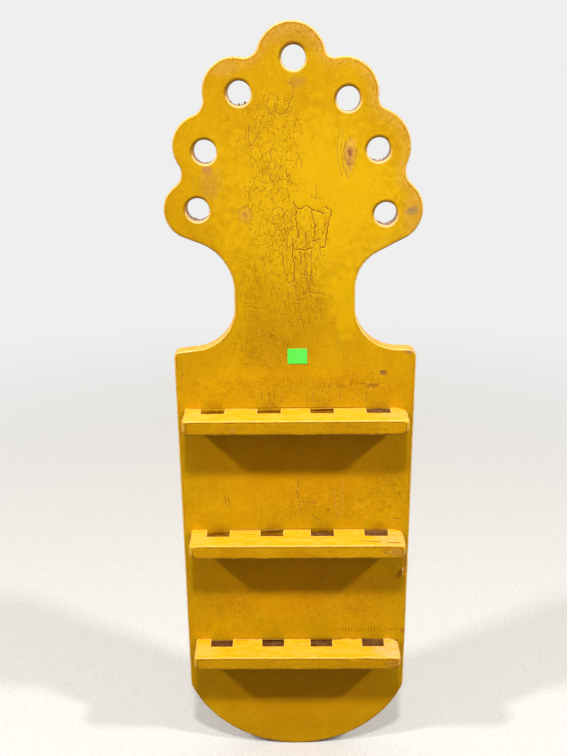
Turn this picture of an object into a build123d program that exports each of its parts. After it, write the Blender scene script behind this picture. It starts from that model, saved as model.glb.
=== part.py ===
from build123d import *
import os
from dataclasses import dataclass
from math import atan2, cos, pi, sin, sqrt

# Wall spoon rack: a scalloped back board that hangs on a peg by its top hole and carries three
# notched shelves.  Spoons hang in the notches by their bowls, handles down.
# Frame, in millimetres: x to the right, z up, and the front looks along -y.  The board's back
# lies in the plane y = 0, and the origin is the centre of the hanging hole on that back.

os.makedirs("parts", exist_ok=True)

# ------------------------------------------------------------------ back board
board_thickness = 15.9          # planed stock, 5/8 in
body_width = 243.2              # straight lower part, side to side
board_edge_round = 2.3          # hand-eased front edge
board_back_break = 0.8          # arris taken off the back edge
shoulder_drop = 274.8           # hanging hole down to the inner end of the shoulders
shoulder_round = 5.0            # outer corner of each shoulder
left_shoulder_fall = 1.8        # each shoulder falls away a little towards its corner
right_shoulder_fall = 0.4
neck_width = 118.8              # narrowest place, between crest and shoulders
neck_cove_radius = 44.2         # lower cove of the neck, tangent to the shoulder
neck_left_radius = 50.0         # upper cove under the lowest left scallop
neck_right_radius = 40.0        # upper cove under the lowest right scallop
left_flank = 16.6               # straight cut from the lowest left scallop into its cove
right_flank = 28.0              # straight cut from the lowest right scallop into its cove
foot_drop = 630.4               # hanging hole down to the centre of the round foot
foot_bow = 9.0                  # the round foot's radius is half the body's width and this
foot_corner_radius = 18.0       # where the sides run into the round foot

# ------------------------------------------------------------------ crest holes
hole_radius = 11.1              # 7/8 in bit
hole_rim_break = 1.3            # front rim, broken with a countersink bit


@dataclass(frozen=True)
class Scallop:
    """One round of the crest: the hole bored in it, and the arc sawn round that hole by eye."""

    hole_x: float
    hole_z: float
    arc_x: float
    arc_z: float
    arc_radius: float


top_scallop = Scallop(0.0, 0.0, -2.2, -0.5, 31.9)
right_scallops = [
    Scallop(50.2, -36.1, 46.1, -31.2, 32.1),
    Scallop(79.0, -81.3, 73.0, -78.8, 36.0),
    Scallop(87.1, -140.6, 91.9, -136.7, 30.6),
]
left_scallops = [
    Scallop(-50.0, -30.5, -53.8, -28.7, 30.1),
    Scallop(-83.2, -82.1, -84.0, -77.3, 29.3),
    Scallop(-91.7, -135.6, -96.5, -135.9, 27.8),
]
right_valley_radii = [8.0, 10.5, 18.0]      # hollows between scallops, from the top down
left_valley_radii = [13.0, 15.0, 14.0]

# ------------------------------------------------------------------ shelves
shelf_length = 227.0
shelf_depth = 34.5              # how far a shelf stands out from the board
shelf_thickness = 15.9          # same stock as the board
shelf_front_corner = 4.5        # front corners, seen from above
shelf_back_corner = 3.0         # back corners, seen from above
shelf_end_round = 3.2           # corners of the ends, seen from the front
shelf_front_round = 2.0         # long front edges
top_shelf_drop = 337.5          # hanging hole down to each shelf's upper face
middle_shelf_drop = 477.2
bottom_shelf_drop = 615.6
middle_shelf_shift = 1.2        # the lower shelves sit a little right of the board's centre line
bottom_shelf_shift = 0.6

# ------------------------------------------------------------------ notches in the shelves
notch_width = 24.2
notch_depth = 13.9              # cut forward from the shelf's back edge
inner_notch_place = 27.1        # centre line of the shelf to the middle of the notch
outer_notch_place = 84.3

# ------------------------------------------------------------------ screws, driven from behind
screw_length = 31.8             # 1 1/4 in countersunk wood screw
screw_radius = 1.75
screw_head_radius = 3.4
screw_head_height = 2.1
screw_head_sink = 0.4           # head below the board's back
screw_slot_width = 1.0
screw_slot_depth = 0.9
screw_slot_step = 37.0          # degrees between the slots of one screw and the next
screw_clearance = 0.05          # all round the screw, in board and shelf

# ------------------------------------------------------------------ blank price sticker
sticker_width = 19.8
sticker_height = 16.0
sticker_thickness = 0.15
sticker_corner = 0.8
sticker_x = 2.3
sticker_drop = 281.8            # hanging hole down to the middle of the sticker

# ------------------------------------------------------------------ places that follow
half_width = body_width / 2
half_neck = neck_width / 2
foot_radius = half_width + foot_bow
board_front = -board_thickness
shelf_front = board_front - shelf_depth
screw_place = (inner_notch_place + outer_notch_place) / 2
all_scallops = [top_scallop] + right_scallops + left_scallops
touching_gap = 0.01             # rounds nearer than this share their point of contact


@dataclass(frozen=True)
class Round:
    """A circle that the outline follows: clockwise if it bulges out, the other way if hollow."""

    x: float
    z: float
    radius: float
    bulges: bool = True

    @property
    def signed(self):
        return self.radius if self.bulges else -self.radius


def sawn_arc(scallop):
    """The bulging round of one scallop."""
    return Round(scallop.arc_x, scallop.arc_z, scallop.arc_radius)


def valley(first, second, radius):
    """The hollow round that touches two scallops from outside, on the left of the way there."""
    dx, dz = second.x - first.x, second.z - first.z
    apart = sqrt(dx * dx + dz * dz)
    reach_first, reach_second = first.radius + radius, second.radius + radius
    along = (apart**2 + reach_first**2 - reach_second**2) / (2 * apart)
    aside = sqrt(reach_first**2 - along**2)
    return Round(
        first.x + (dx * along - dz * aside) / apart,
        first.z + (dz * along + dx * aside) / apart,
        radius,
        bulges=False,
    )


def upper_cove(lobe, side, radius, flank):
    """The hollow round under the lowest scallop, joined to it by a straight flank."""
    x = side * (half_neck + radius)
    apart_squared = (lobe.radius + radius) ** 2 + flank**2
    return Round(x, lobe.z - sqrt(apart_squared - (x - lobe.x) ** 2), radius, bulges=False)


def lower_cove(side):
    """The hollow round that runs out level into the shoulder."""
    x = side * (half_neck + neck_cove_radius)
    return Round(x, neck_cove_radius - shoulder_drop, neck_cove_radius, bulges=False)


def shoulder_corner(side, fall):
    """The small round at the outer end of a shoulder."""
    x = side * (half_width - shoulder_round)
    return Round(x, -shoulder_drop - fall - shoulder_round, shoulder_round)


def foot_corner(side):
    """The small round that leads a straight side into the round foot."""
    x = half_width - foot_corner_radius
    drop = foot_drop + sqrt((foot_radius - foot_corner_radius) ** 2 - x**2)
    return Round(side * x, -drop, foot_corner_radius)


def crest_side(scallops, valley_radii, side):
    """Valleys and scallops of one side, from the top scallop down."""
    rounds = []
    above = sawn_arc(top_scallop)
    for scallop, radius in zip(scallops, valley_radii):
        lobe = sawn_arc(scallop)
        pair = (above, lobe) if side > 0 else (lobe, above)
        rounds += [valley(*pair, radius), lobe]
        above = lobe
    return rounds


def outline_rounds():
    """All rounds of the board's outline, clockwise as seen from the front."""
    right = crest_side(right_scallops, right_valley_radii, 1)
    left = crest_side(left_scallops, left_valley_radii, -1)
    return (
        [sawn_arc(top_scallop)]
        + right
        + [
            upper_cove(right[-1], 1, neck_right_radius, right_flank),
            lower_cove(1),
            shoulder_corner(1, right_shoulder_fall),
            foot_corner(1),
            Round(0.0, -foot_drop, foot_radius),
            foot_corner(-1),
            shoulder_corner(-1, left_shoulder_fall),
            lower_cove(-1),
            upper_cove(left[-1], -1, neck_left_radius, left_flank),
        ]
        + left[::-1]
    )


def common_tangent(first, second):
    """Where the outline leaves one round and meets the next, as two (x, z) points."""
    dx, dz = second.x - first.x, second.z - first.z
    apart = sqrt(dx * dx + dz * dz)
    across = max(-1.0, min(1.0, (first.signed - second.signed) / apart))
    along = sqrt(1 - across**2)
    normal_x = (dx * across - dz * along) / apart
    normal_z = (dz * across + dx * along) / apart
    leave = (first.x + first.signed * normal_x, first.z + first.signed * normal_z)
    meet = (second.x + second.signed * normal_x, second.z + second.signed * normal_z)
    touching = apart * along < touching_gap
    return leave, leave if touching else meet


def arc_on(turn, start, end):
    """The arc of one round from start to end, in the direction the outline travels."""
    start_angle = atan2(start[1] - turn.z, start[0] - turn.x)
    end_angle = atan2(end[1] - turn.z, end[0] - turn.x)
    sweep = (start_angle - end_angle) % (2 * pi)
    if not turn.bulges:
        sweep = sweep - 2 * pi
    middle_angle = start_angle - sweep / 2
    middle = (
        turn.x + turn.radius * cos(middle_angle),
        turn.z + turn.radius * sin(middle_angle),
    )
    return ThreePointArc(start, middle, end)


def board_outline():
    """The board's face: arcs on the rounds, joined by the straight lines that touch them."""
    rounds = outline_rounds()
    ways = [common_tangent(a, b) for a, b in zip(rounds, rounds[1:] + rounds[:1])]
    edges = []
    for index, turn in enumerate(rounds):
        start, end = ways[index - 1][1], ways[index][0]
        edges.append(arc_on(turn, start, end))
        following = ways[index][1]
        if following != end:
            edges.append(Line(end, following))
    return make_face(edges)


def shelf_seats():
    """Each shelf's node name, with the x of its middle and the z of its upper face."""
    return {
        "top_shelf": (0.0, -top_shelf_drop),
        "middle_shelf": (middle_shelf_shift, -middle_shelf_drop),
        "bottom_shelf": (bottom_shelf_shift, -bottom_shelf_drop),
    }


def screw_spots(seat):
    """The x and z of the screws that hold one shelf, in the solid wood between its notches."""
    x, top_z = seat
    return [(x + side * screw_place, top_z - shelf_thickness / 2) for side in (-1, 1)]


def screw_body():
    """A screw's turned form along -y, its head at the back and its end blunt."""
    head_y = -screw_head_sink
    end_y = head_y - screw_length
    half = Polyline(
        (0, head_y),
        (screw_head_radius, head_y),
        (screw_radius, head_y - screw_head_height),
        (screw_radius, end_y),
        (0, end_y),
        close=True,
    )
    return revolve(make_face(half), Axis.Y)


def screw_hole():
    """What one screw takes out of board and shelf: the countersink and the drilled hole."""
    flare = (screw_head_radius - screw_radius) / screw_head_height
    mouth_radius = screw_head_radius + screw_clearance + flare * 2 * screw_head_sink
    drill_radius = screw_radius + screw_clearance
    bottom_y = -screw_head_sink - screw_length - screw_clearance
    half = Polyline(
        (0, screw_head_sink),
        (mouth_radius, screw_head_sink),
        (drill_radius, -screw_head_sink - screw_head_height),
        (drill_radius, bottom_y),
        (0, bottom_y),
        close=True,
    )
    return revolve(make_face(half), Axis.Y)


def crest_hole():
    """What one crest hole takes out of the board, its mouth opened at the front."""
    half = Polyline(
        (0, board_thickness),
        (hole_radius, board_thickness),
        (hole_radius, board_front + hole_rim_break),
        (hole_radius + 2 * hole_rim_break, board_front - hole_rim_break),
        (0, board_front - hole_rim_break),
        close=True,
    )
    return revolve(make_face(half), Axis.Y)


def make_board():
    """The back board with its seven holes and the countersunk holes for the shelf screws."""
    board = extrude(Plane.XZ * board_outline(), board_thickness)
    board = fillet(board.faces().sort_by(Axis.Y)[0].edges(), board_edge_round)
    board = chamfer(board.faces().sort_by(Axis.Y)[-1].edges(), board_back_break)
    for scallop in all_scallops:
        board -= Pos(scallop.hole_x, 0, scallop.hole_z) * crest_hole()
    for seat in shelf_seats().values():
        for x, z in screw_spots(seat):
            board -= Pos(x, 0, z) * screw_hole()
    return board


def make_shelf(seat):
    """One shelf: a bar rounded in plan, section and front view, with four notches at its back."""
    x, top_z = seat
    middle_y = (board_front + shelf_front) / 2
    middle_z = top_z - shelf_thickness / 2

    plan = Rectangle(shelf_length, shelf_depth)
    plan = fillet(plan.vertices().group_by(Axis.Y)[0], shelf_front_corner)
    plan = fillet(plan.vertices().group_by(Axis.Y)[-1], shelf_back_corner)
    section = Rectangle(shelf_depth, shelf_thickness)
    section = fillet(section.vertices().group_by(Axis.X)[0], shelf_front_round)
    ends = RectangleRounded(shelf_length, shelf_thickness, shelf_end_round)

    shelf = extrude(plan, shelf_thickness / 2, both=True)
    shelf &= extrude(Plane.YZ * section, shelf_length / 2, both=True)
    shelf &= extrude(Plane.XZ * ends, shelf_depth / 2, both=True)
    shelf = Pos(x, middle_y, middle_z) * shelf

    notch = Box(notch_width, notch_depth * 2, shelf_thickness * 2)
    for place in (inner_notch_place, outer_notch_place):
        for side in (-1, 1):
            shelf -= Pos(x + side * place, board_front, middle_z) * notch
    for screw_x, screw_z in screw_spots(seat):
        shelf -= Pos(screw_x, 0, screw_z) * screw_hole()
    return shelf


def make_screws():
    """All the shelf screws, one solid each, with a driver slot turned its own way."""
    slot = Box(screw_head_radius * 3, screw_slot_depth * 2, screw_slot_width)
    screw = screw_body()
    screws = []
    spots = [spot for seat in shelf_seats().values() for spot in screw_spots(seat)]
    for index, (x, z) in enumerate(spots):
        turned = Location((0, -screw_head_sink, 0), (0, index * screw_slot_step, 0)) * slot
        screws.append(Pos(x, 0, z) * (screw - turned))
    return Compound(children=screws)


def make_sticker():
    """The blank price sticker, flat on the front of the board above the top shelf."""
    face = RectangleRounded(sticker_width, sticker_height, sticker_corner)
    paper = extrude(Plane.XZ * face, sticker_thickness)
    return Pos(sticker_x, board_front, -sticker_drop) * paper


nodes = {"back_board": make_board()}
for shelf_name, shelf_seat in shelf_seats().items():
    nodes[shelf_name] = make_shelf(shelf_seat)
nodes["shelf_screws"] = make_screws()
nodes["price_sticker"] = make_sticker()

for name, shape in nodes.items():
    export_step(shape, f"parts/{name}.step")
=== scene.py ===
"""A painted wall spoon rack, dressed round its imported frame.

The rack is one scalloped, pierced back board with three notched shelves, the screws that hold
them and a blank price sticker.  Sizes are in millimetres unless a name says otherwise, in the
frame's own axes: x to the right, z up, the front towards -y, the board's back in y = 0, and the
origin in the middle of the hanging hole.
"""

from __future__ import annotations

import logging
import math
from dataclasses import dataclass, field, replace
from enum import Enum
from typing import Callable, Iterator, Sequence

import bpy
import numpy as np
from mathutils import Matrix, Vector
from mathutils.geometry import delaunay_2d_cdt


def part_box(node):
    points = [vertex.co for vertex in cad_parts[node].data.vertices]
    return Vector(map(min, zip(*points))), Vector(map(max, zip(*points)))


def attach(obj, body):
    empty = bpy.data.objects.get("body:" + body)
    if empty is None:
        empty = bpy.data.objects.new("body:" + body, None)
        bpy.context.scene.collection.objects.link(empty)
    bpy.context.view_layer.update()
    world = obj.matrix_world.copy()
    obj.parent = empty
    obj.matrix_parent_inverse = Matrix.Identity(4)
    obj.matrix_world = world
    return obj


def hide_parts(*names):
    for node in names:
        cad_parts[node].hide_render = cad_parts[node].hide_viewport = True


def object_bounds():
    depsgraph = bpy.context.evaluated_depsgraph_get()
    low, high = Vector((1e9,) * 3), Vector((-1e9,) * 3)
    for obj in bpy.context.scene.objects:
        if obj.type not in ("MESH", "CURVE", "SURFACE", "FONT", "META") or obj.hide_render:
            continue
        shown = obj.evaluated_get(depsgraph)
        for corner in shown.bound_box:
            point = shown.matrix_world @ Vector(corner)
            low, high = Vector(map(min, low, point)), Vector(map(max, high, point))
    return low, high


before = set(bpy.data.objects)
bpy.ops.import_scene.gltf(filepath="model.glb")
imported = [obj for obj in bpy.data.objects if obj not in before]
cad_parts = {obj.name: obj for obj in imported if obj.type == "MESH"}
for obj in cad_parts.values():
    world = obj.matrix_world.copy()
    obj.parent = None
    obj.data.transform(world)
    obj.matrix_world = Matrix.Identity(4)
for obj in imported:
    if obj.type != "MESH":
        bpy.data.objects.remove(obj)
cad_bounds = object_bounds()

log = logging.getLogger("spoon_rack")

Array = np.ndarray
Triple = tuple[float, float, float]
Colour = tuple[float, float, float, float]
Line = tuple[tuple[float, float], ...]

MM = 0.001
WARM_SKY: Colour = (1.0, 0.95, 0.88, 1.0)
SMALL = 1e-6
PART = 2048  # places measured at a time
BELTS = (0.9, 2.0, 3.6)  # how far inside a face's edge its rows of points run
FADE = 2.5  # how deep a face's relief still moves the walls
NO_EDGE = 40.0  # stands for a place far from any arris
SPAN = 2000.0  # how far the materials' coordinates reach


def tone(red: int, green: int, blue: int) -> Colour:
    """A display colour as the linear colour that a shader takes.

    Args:
        red, green, blue: the display colour, from 0 to 255.

    Returns:
        Linear red, green and blue, and an alpha of 1.
    """
    shown = np.array([red, green, blue]) / 255
    linear = np.where(shown <= 0.04045, shown / 12.92, ((shown + 0.055) / 1.055) ** 2.4)
    return (*(float(value) for value in linear), 1.0)


def node_span(node: str) -> tuple[Array, Array]:
    """The lowest and highest corner of a frame node, in millimetres."""
    low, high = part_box(node)
    return np.array(low) / MM, np.array(high) / MM


def new_piece(name: str, points: Array, faces: Sequence, values: dict[str, Array]) -> bpy.types.Object:
    """Makes a mesh, with its object at the origin, and links it into the scene.

    Args:
        name: the object's name.
        points: an (n, 3) array, in millimetres.
        faces: each face's point numbers.
        values: what the mesh stores on its points, by name.

    Returns:
        The object.
    """
    mesh = bpy.data.meshes.new(name)
    mesh.from_pydata((points * MM).tolist(), [], faces)
    for label, numbers in values.items():
        layer = mesh.attributes.new(label, "FLOAT", "POINT")
        layer.data.foreach_set("value", numbers.astype(np.float32))
    mesh.update()
    piece = bpy.data.objects.new(name, mesh)
    bpy.context.scene.collection.objects.link(piece)
    return piece


@dataclass(frozen=True)
class Ripple:
    """Smooth noise: sine waves whose lengths, between two limits, and directions a seed draws."""

    seed: int
    shortest: float
    longest: float
    waves: int = 22

    def at(self, points: Array) -> Array:
        """The noise at each place, as sum(sin(k . p + phase)) / sqrt(waves / 2).

        Args:
            points: an (n, d) array of places.

        Returns:
            An (n,) array with a mean near 0 and a spread near 1.
        """
        draw = np.random.default_rng(self.seed)
        way = draw.normal(size=(self.waves, points.shape[1]))
        way /= np.linalg.norm(way, axis=1, keepdims=True)
        span = np.log(self.longest / self.shortest)
        length = self.shortest * np.exp(draw.random(self.waves) * span)
        phase = draw.random(self.waves) * 2 * np.pi
        swing = points @ (way * (2 * np.pi / length)[:, None]).T + phase
        return np.sin(swing).sum(axis=1) / math.sqrt(self.waves / 2)


# ------------------------------------------------------------------------ outlines and edges


class Bend(Enum):
    """Which way a round turns where the outline passes it: it bulges or it is hollow."""

    OUT = 1.0
    IN = -1.0


@dataclass(frozen=True)
class Round:
    """A circle that an outline follows for a while.

    The edge is rounded by ease on the arc and, where given, by after on the line behind it.
    """

    a: float
    b: float
    radius: float
    bend: Bend
    ease: float
    after: float | None = None


@dataclass(frozen=True)
class Trace:
    """Points along a closed path: (n, 2) places, (n, 2) normals out of the wood, (n,) easing."""

    points: Array
    normals: Array
    ease: Array

    def worn(self, ripple: Ripple, swing: float, least: float) -> Trace:
        """The same path with an easing that varies along it, between a least share and 1."""
        uneven = 1 + swing * ripple.at(self.points)
        return replace(self, ease=self.ease * np.clip(uneven, least, 1.0))


@dataclass(frozen=True)
class Outline:
    """A closed path, run clockwise: arcs on rounds, joined by the lines that touch both.

    Its points are about a step apart, and its easing changes over the length of blur.
    """

    rounds: tuple[Round, ...]
    step: float = 1.3
    blur: float = 6.0

    def trace(self) -> Trace:
        """The path's points: angles swept evenly on each arc, then even steps on the line.

        With signed radii r (minus for a hollow) and centres c, the unit normal n of the line that
        touches two rounds obeys n . (c2 - c1) = r1 - r2, and it touches them at c + r n.

        Returns:
            The path, with its easing blurred.
        """
        centre = np.array([(turn.a, turn.b) for turn in self.rounds])
        radius = np.array([turn.radius * turn.bend.value for turn in self.rounds])
        way = np.roll(centre, -1, axis=0) - centre
        apart = np.linalg.norm(way, axis=1)
        across = np.clip((radius - np.roll(radius, -1)) / apart, -1, 1)[:, None]
        side = np.stack([-way[:, 1], way[:, 0]], axis=1)
        normal = (way * across + side * np.sqrt(1 - across**2)) / apart[:, None]
        leave = centre + radius[:, None] * normal
        meet = np.roll(centre, -1, axis=0) + np.roll(radius, -1)[:, None] * normal
        points, normals, ease = [], [], []
        for index, turn in enumerate(self.rounds):
            start, end = meet[index - 1] - centre[index], leave[index] - centre[index]
            first, last = math.atan2(start[1], start[0]), math.atan2(end[1], end[0])
            sweep = (first - last) % (2 * math.pi)
            if turn.bend is Bend.IN:
                sweep -= 2 * math.pi
            count = max(3, math.ceil(abs(sweep) * turn.radius / self.step) + 1)
            angle = first - sweep * np.linspace(0, 1, count)
            spoke = np.stack([np.cos(angle), np.sin(angle)], axis=1)
            straight = np.linalg.norm(meet[index] - leave[index])
            kept = count if straight > 0.3 * self.step else count - 1
            steps = math.ceil(straight / self.step)
            share = np.arange(1, steps) / steps
            points.append((centre[index] + turn.radius * spoke)[:kept])
            points.append(leave[index] + share[:, None] * (meet[index] - leave[index]))
            normals.append((spoke * turn.bend.value)[:kept])
            normals.append(np.repeat(normal[index][None], len(share), axis=0))
            ease += [np.full(kept, turn.ease), np.full(len(share), turn.after or turn.ease)]
        width = max(1, round(self.blur / self.step))
        joined = np.concatenate(ease)
        padded = np.concatenate([joined[-width:], joined, joined[:width]])
        blurred = np.convolve(padded, np.ones(2 * width + 1) / (2 * width + 1), mode="valid")
        return Trace(np.concatenate(points), np.concatenate(normals), blurred)


def bored(a: float, b: float, radius: float, count: int) -> Trace:
    """A hole's edge, run anticlockwise, with normals that point to its middle.

    Args:
        a, b: the hole's middle.
        radius: its radius.
        count: how many points go round it.

    Returns:
        The edge, with an easing of 1.
    """
    angle = np.arange(count) * 2 * np.pi / count
    spoke = np.stack([np.cos(angle), np.sin(angle)], axis=1)
    return Trace(np.array([a, b]) + radius * spoke, -spoke, np.ones(count))


@dataclass(frozen=True)
class Lip:
    """How an edge runs out to a face: a quarter ellipse, or a straight flare.

    Its width, in from the edge, and its depth are shares of the path's ease.
    """

    width: float
    depth: float
    rows: int
    flared: bool = False

    def shape(self) -> tuple[Array, Array]:
        """Inset and depth of each row from the face down, for an ease of 1.

        A rounded lip is inset = width (1 - sin t), depth = depth (1 - cos t) for t from 0 to a
        quarter turn; a flare is the straight line between the same ends.

        Returns:
            The insets and the depths.
        """
        turn = np.linspace(0, 1, self.rows)
        if self.flared:
            return self.width * (1 - turn), self.depth * turn
        angle = turn * math.pi / 2
        return self.width * (1 - np.sin(angle)), self.depth * (1 - np.cos(angle))


@dataclass(frozen=True)
class Wall:
    """A path carried through the wood's thickness, as a grid of points.

    It has a lip at each face and so many rows between them.  Where it is bare, the wood was never
    painted.  Its push takes (n, 3) places and gives an extra inset for each.
    """

    trace: Trace
    front: Lip
    rear: Lip
    rows: int
    bare: float = 0.0
    push: Callable[[Array], Array] | None = None

    def grid(self, thickness: float) -> tuple[Array, Array]:
        """The wall's points and how far each lies from the front arris.

        A point is path - normal * inset, at the row's depth.  Insets and depths come from the
        lips, scaled by the path's ease, with even rows between them.

        Args:
            thickness: the wood's thickness.

        Returns:
            An (n, r, 3) array of (a, b, depth), and an (n, r) array of distances, minus down the
            wall and plus towards the face.
        """
        ease = self.trace.ease[:, None]
        front_inset, front_depth = self.front.shape()
        rear_inset, rear_depth = self.rear.shape()
        top = ease * front_depth[None]
        bottom = thickness - ease * rear_depth[None, ::-1]
        share = (np.arange(1, self.rows + 1) / (self.rows + 1))[None]
        middle = top[:, -1:] + share * (bottom[:, :1] - top[:, -1:])
        depth = np.concatenate([top, middle, bottom], axis=1)
        insets = [ease * front_inset[None], np.zeros_like(middle), ease * rear_inset[None, ::-1]]
        inset = np.concatenate(insets, axis=1)
        points = self.trace.points[:, None] - self.trace.normals[:, None] * inset[..., None]
        solid = np.concatenate([points, depth[..., None]], axis=2)
        if self.push is not None:
            extra = self.push(solid.reshape(-1, 3)).reshape(inset.shape)
            solid[..., :2] -= self.trace.normals[:, None] * extra[..., None]
        return solid, inset - np.minimum(depth, thickness - depth)


# ----------------------------------------------------------------------- marks on a surface


def in_parts(places: Array) -> list[Array]:
    """The places in parts, so that a table of all pairs stays small."""
    return np.array_split(places, max(1, len(places) // PART))


def distance_to_points(places: Array, targets: Array) -> Array:
    """How far each place lies from the nearest target.

    Args:
        places, targets: (n, 2) and (m, 2) arrays.

    Returns:
        An (n,) array of distances.
    """
    squares = (targets**2).sum(axis=1)
    near = [(squares - 2 * p @ targets.T).min(axis=1) + (p**2).sum(axis=1) for p in in_parts(places)]
    return np.sqrt(np.maximum(np.concatenate(near), 0))


def inside(places: Array, ring: Array) -> Array:
    """Whether each place lies inside a closed ring, by the even-odd rule.

    Args:
        places: an (n, 2) array.
        ring: an (m, 2) array of the ring's points.

    Returns:
        An (n,) array of True and False.
    """
    after = np.roll(ring, -1, axis=0)
    rise = np.where(after[:, 1] == ring[:, 1], 1, after[:, 1] - ring[:, 1])
    slope = (after[:, 0] - ring[:, 0]) / rise
    answers = []
    for part in in_parts(places):
        a, b = part[:, :1], part[:, 1:]
        straddles = (ring[:, 1] > b) != (after[:, 1] > b)
        crossing = ring[:, 0] + (b - ring[:, 1]) * slope
        answers.append((straddles & (a < crossing)).sum(axis=1) % 2 == 1)
    return np.concatenate(answers)


@dataclass(frozen=True)
class Furrow:
    """A crack, groove or run of paint along a line of corners.

    It has a half width, a depth (minus where it stands up), a jag by which it wanders, the seed
    of that wandering, and a darkness.
    """

    line: Line
    width: float
    depth: float
    jag: float
    seed: int
    dark: float

    def route(self) -> Array:
        """The jagged line's points: even steps along the corners, pushed aside by noise.

        Returns:
            An (n, 2) array.
        """
        corners = np.array(self.line)
        lengths = np.linalg.norm(np.diff(corners, axis=0), axis=1)
        far = np.concatenate([[0], np.cumsum(lengths)])
        along = np.linspace(0, far[-1], max(2, math.ceil(far[-1] / 0.6)))
        points = np.stack([np.interp(along, far, corners[:, k]) for k in (0, 1)], axis=1)
        aside_a = Ripple(self.seed, 2.0, 7.0).at(points)
        aside_b = Ripple(self.seed + 1, 2.0, 7.0).at(points)
        return points + self.jag * np.stack([aside_a, 0.5 * aside_b], axis=1)

    def seeds(self) -> Array:
        """Extra mesh points: the route and two lines on each side of it.

        Returns:
            An (n, 2) array.
        """
        route = self.route()
        way = np.gradient(route, axis=0)
        way /= np.linalg.norm(way, axis=1, keepdims=True) + 1e-9
        side = np.stack([-way[:, 1], way[:, 0]], axis=1)
        shifts = np.array([-1.9, -1.0, 0.0, 1.0, 1.9]) * self.width
        return (route[None] + shifts[:, None, None] * side[None]).reshape(-1, 2)

    def strength(self, places: Array) -> Array:
        """How much of the mark each place has: 1 on the line, 0 past 1.4 half widths.

        Args:
            places: an (n, 2) array.

        Returns:
            An (n,) array from 0 to 1.
        """
        route = self.route()
        low, high = route.min(axis=0) - 2, route.max(axis=0) + 2
        near = np.all((places > low) & (places < high), axis=1)
        result = np.zeros(len(places))
        if near.any():
            away = distance_to_points(places[near], route)
            result[near] = np.clip(1.4 - away / self.width, 0, 1)
        return result


@dataclass(frozen=True)
class Blister:
    """A round swelling, or a dent where its rise is minus, with so many ripples round it."""

    a: float
    b: float
    radius_a: float
    radius_b: float
    rise: float
    rings: float = 0.0

    def seeds(self) -> Array:
        """Extra mesh points: rings of points over the swelling.

        Returns:
            An (n, 2) array.
        """
        share = np.linspace(0.12, 1.0, 8)[:, None]
        angle = (np.arange(26) * 2 * np.pi / 26)[None]
        a = self.a + self.radius_a * share * np.cos(angle)
        b = self.b + self.radius_b * share * np.sin(angle)
        return np.stack([a.ravel(), b.ravel()], axis=1)

    def height(self, places: Array) -> Array:
        """rise (1 - d^2)^2 within the ellipse d = 1, times cos(2 pi rings d) where it has rings.

        Args:
            places: an (n, 2) array.

        Returns:
            An (n,) array of heights.
        """
        middle, reach = (self.a, self.b), (self.radius_a, self.radius_b)
        away = np.linalg.norm((places - middle) / reach, axis=1)
        swell = np.clip(1 - away**2, 0, 1) ** 2
        return self.rise * swell * np.cos(2 * np.pi * self.rings * np.minimum(away, 1))


# --------------------------------------------------------------------------- slabs of wood


def tube_faces(count: int, rows: int) -> Array:
    """The quads of a grid of points that is closed round its first side.

    Args:
        count: how many points go round.
        rows: how many points lie along each.

    Returns:
        A (f, 4) array of point numbers, counted along the rows first.
    """
    path, row = np.meshgrid(np.arange(count), np.arange(rows - 1), indexing="ij")
    here, after = path * rows + row, (path + 1) % count * rows + row
    return np.stack([here, after, after + 1, here + 1], axis=-1).reshape(-1, 4)


class Lie(Enum):
    """How a slab's own (a, b, depth) lies in the frame: as rows of a matrix."""

    UPRIGHT = ((1, 0, 0), (0, 0, 1), (0, 1, 0))
    LEVEL = ((1, 0, 0), (0, 1, 0), (0, 0, -1))


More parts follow.
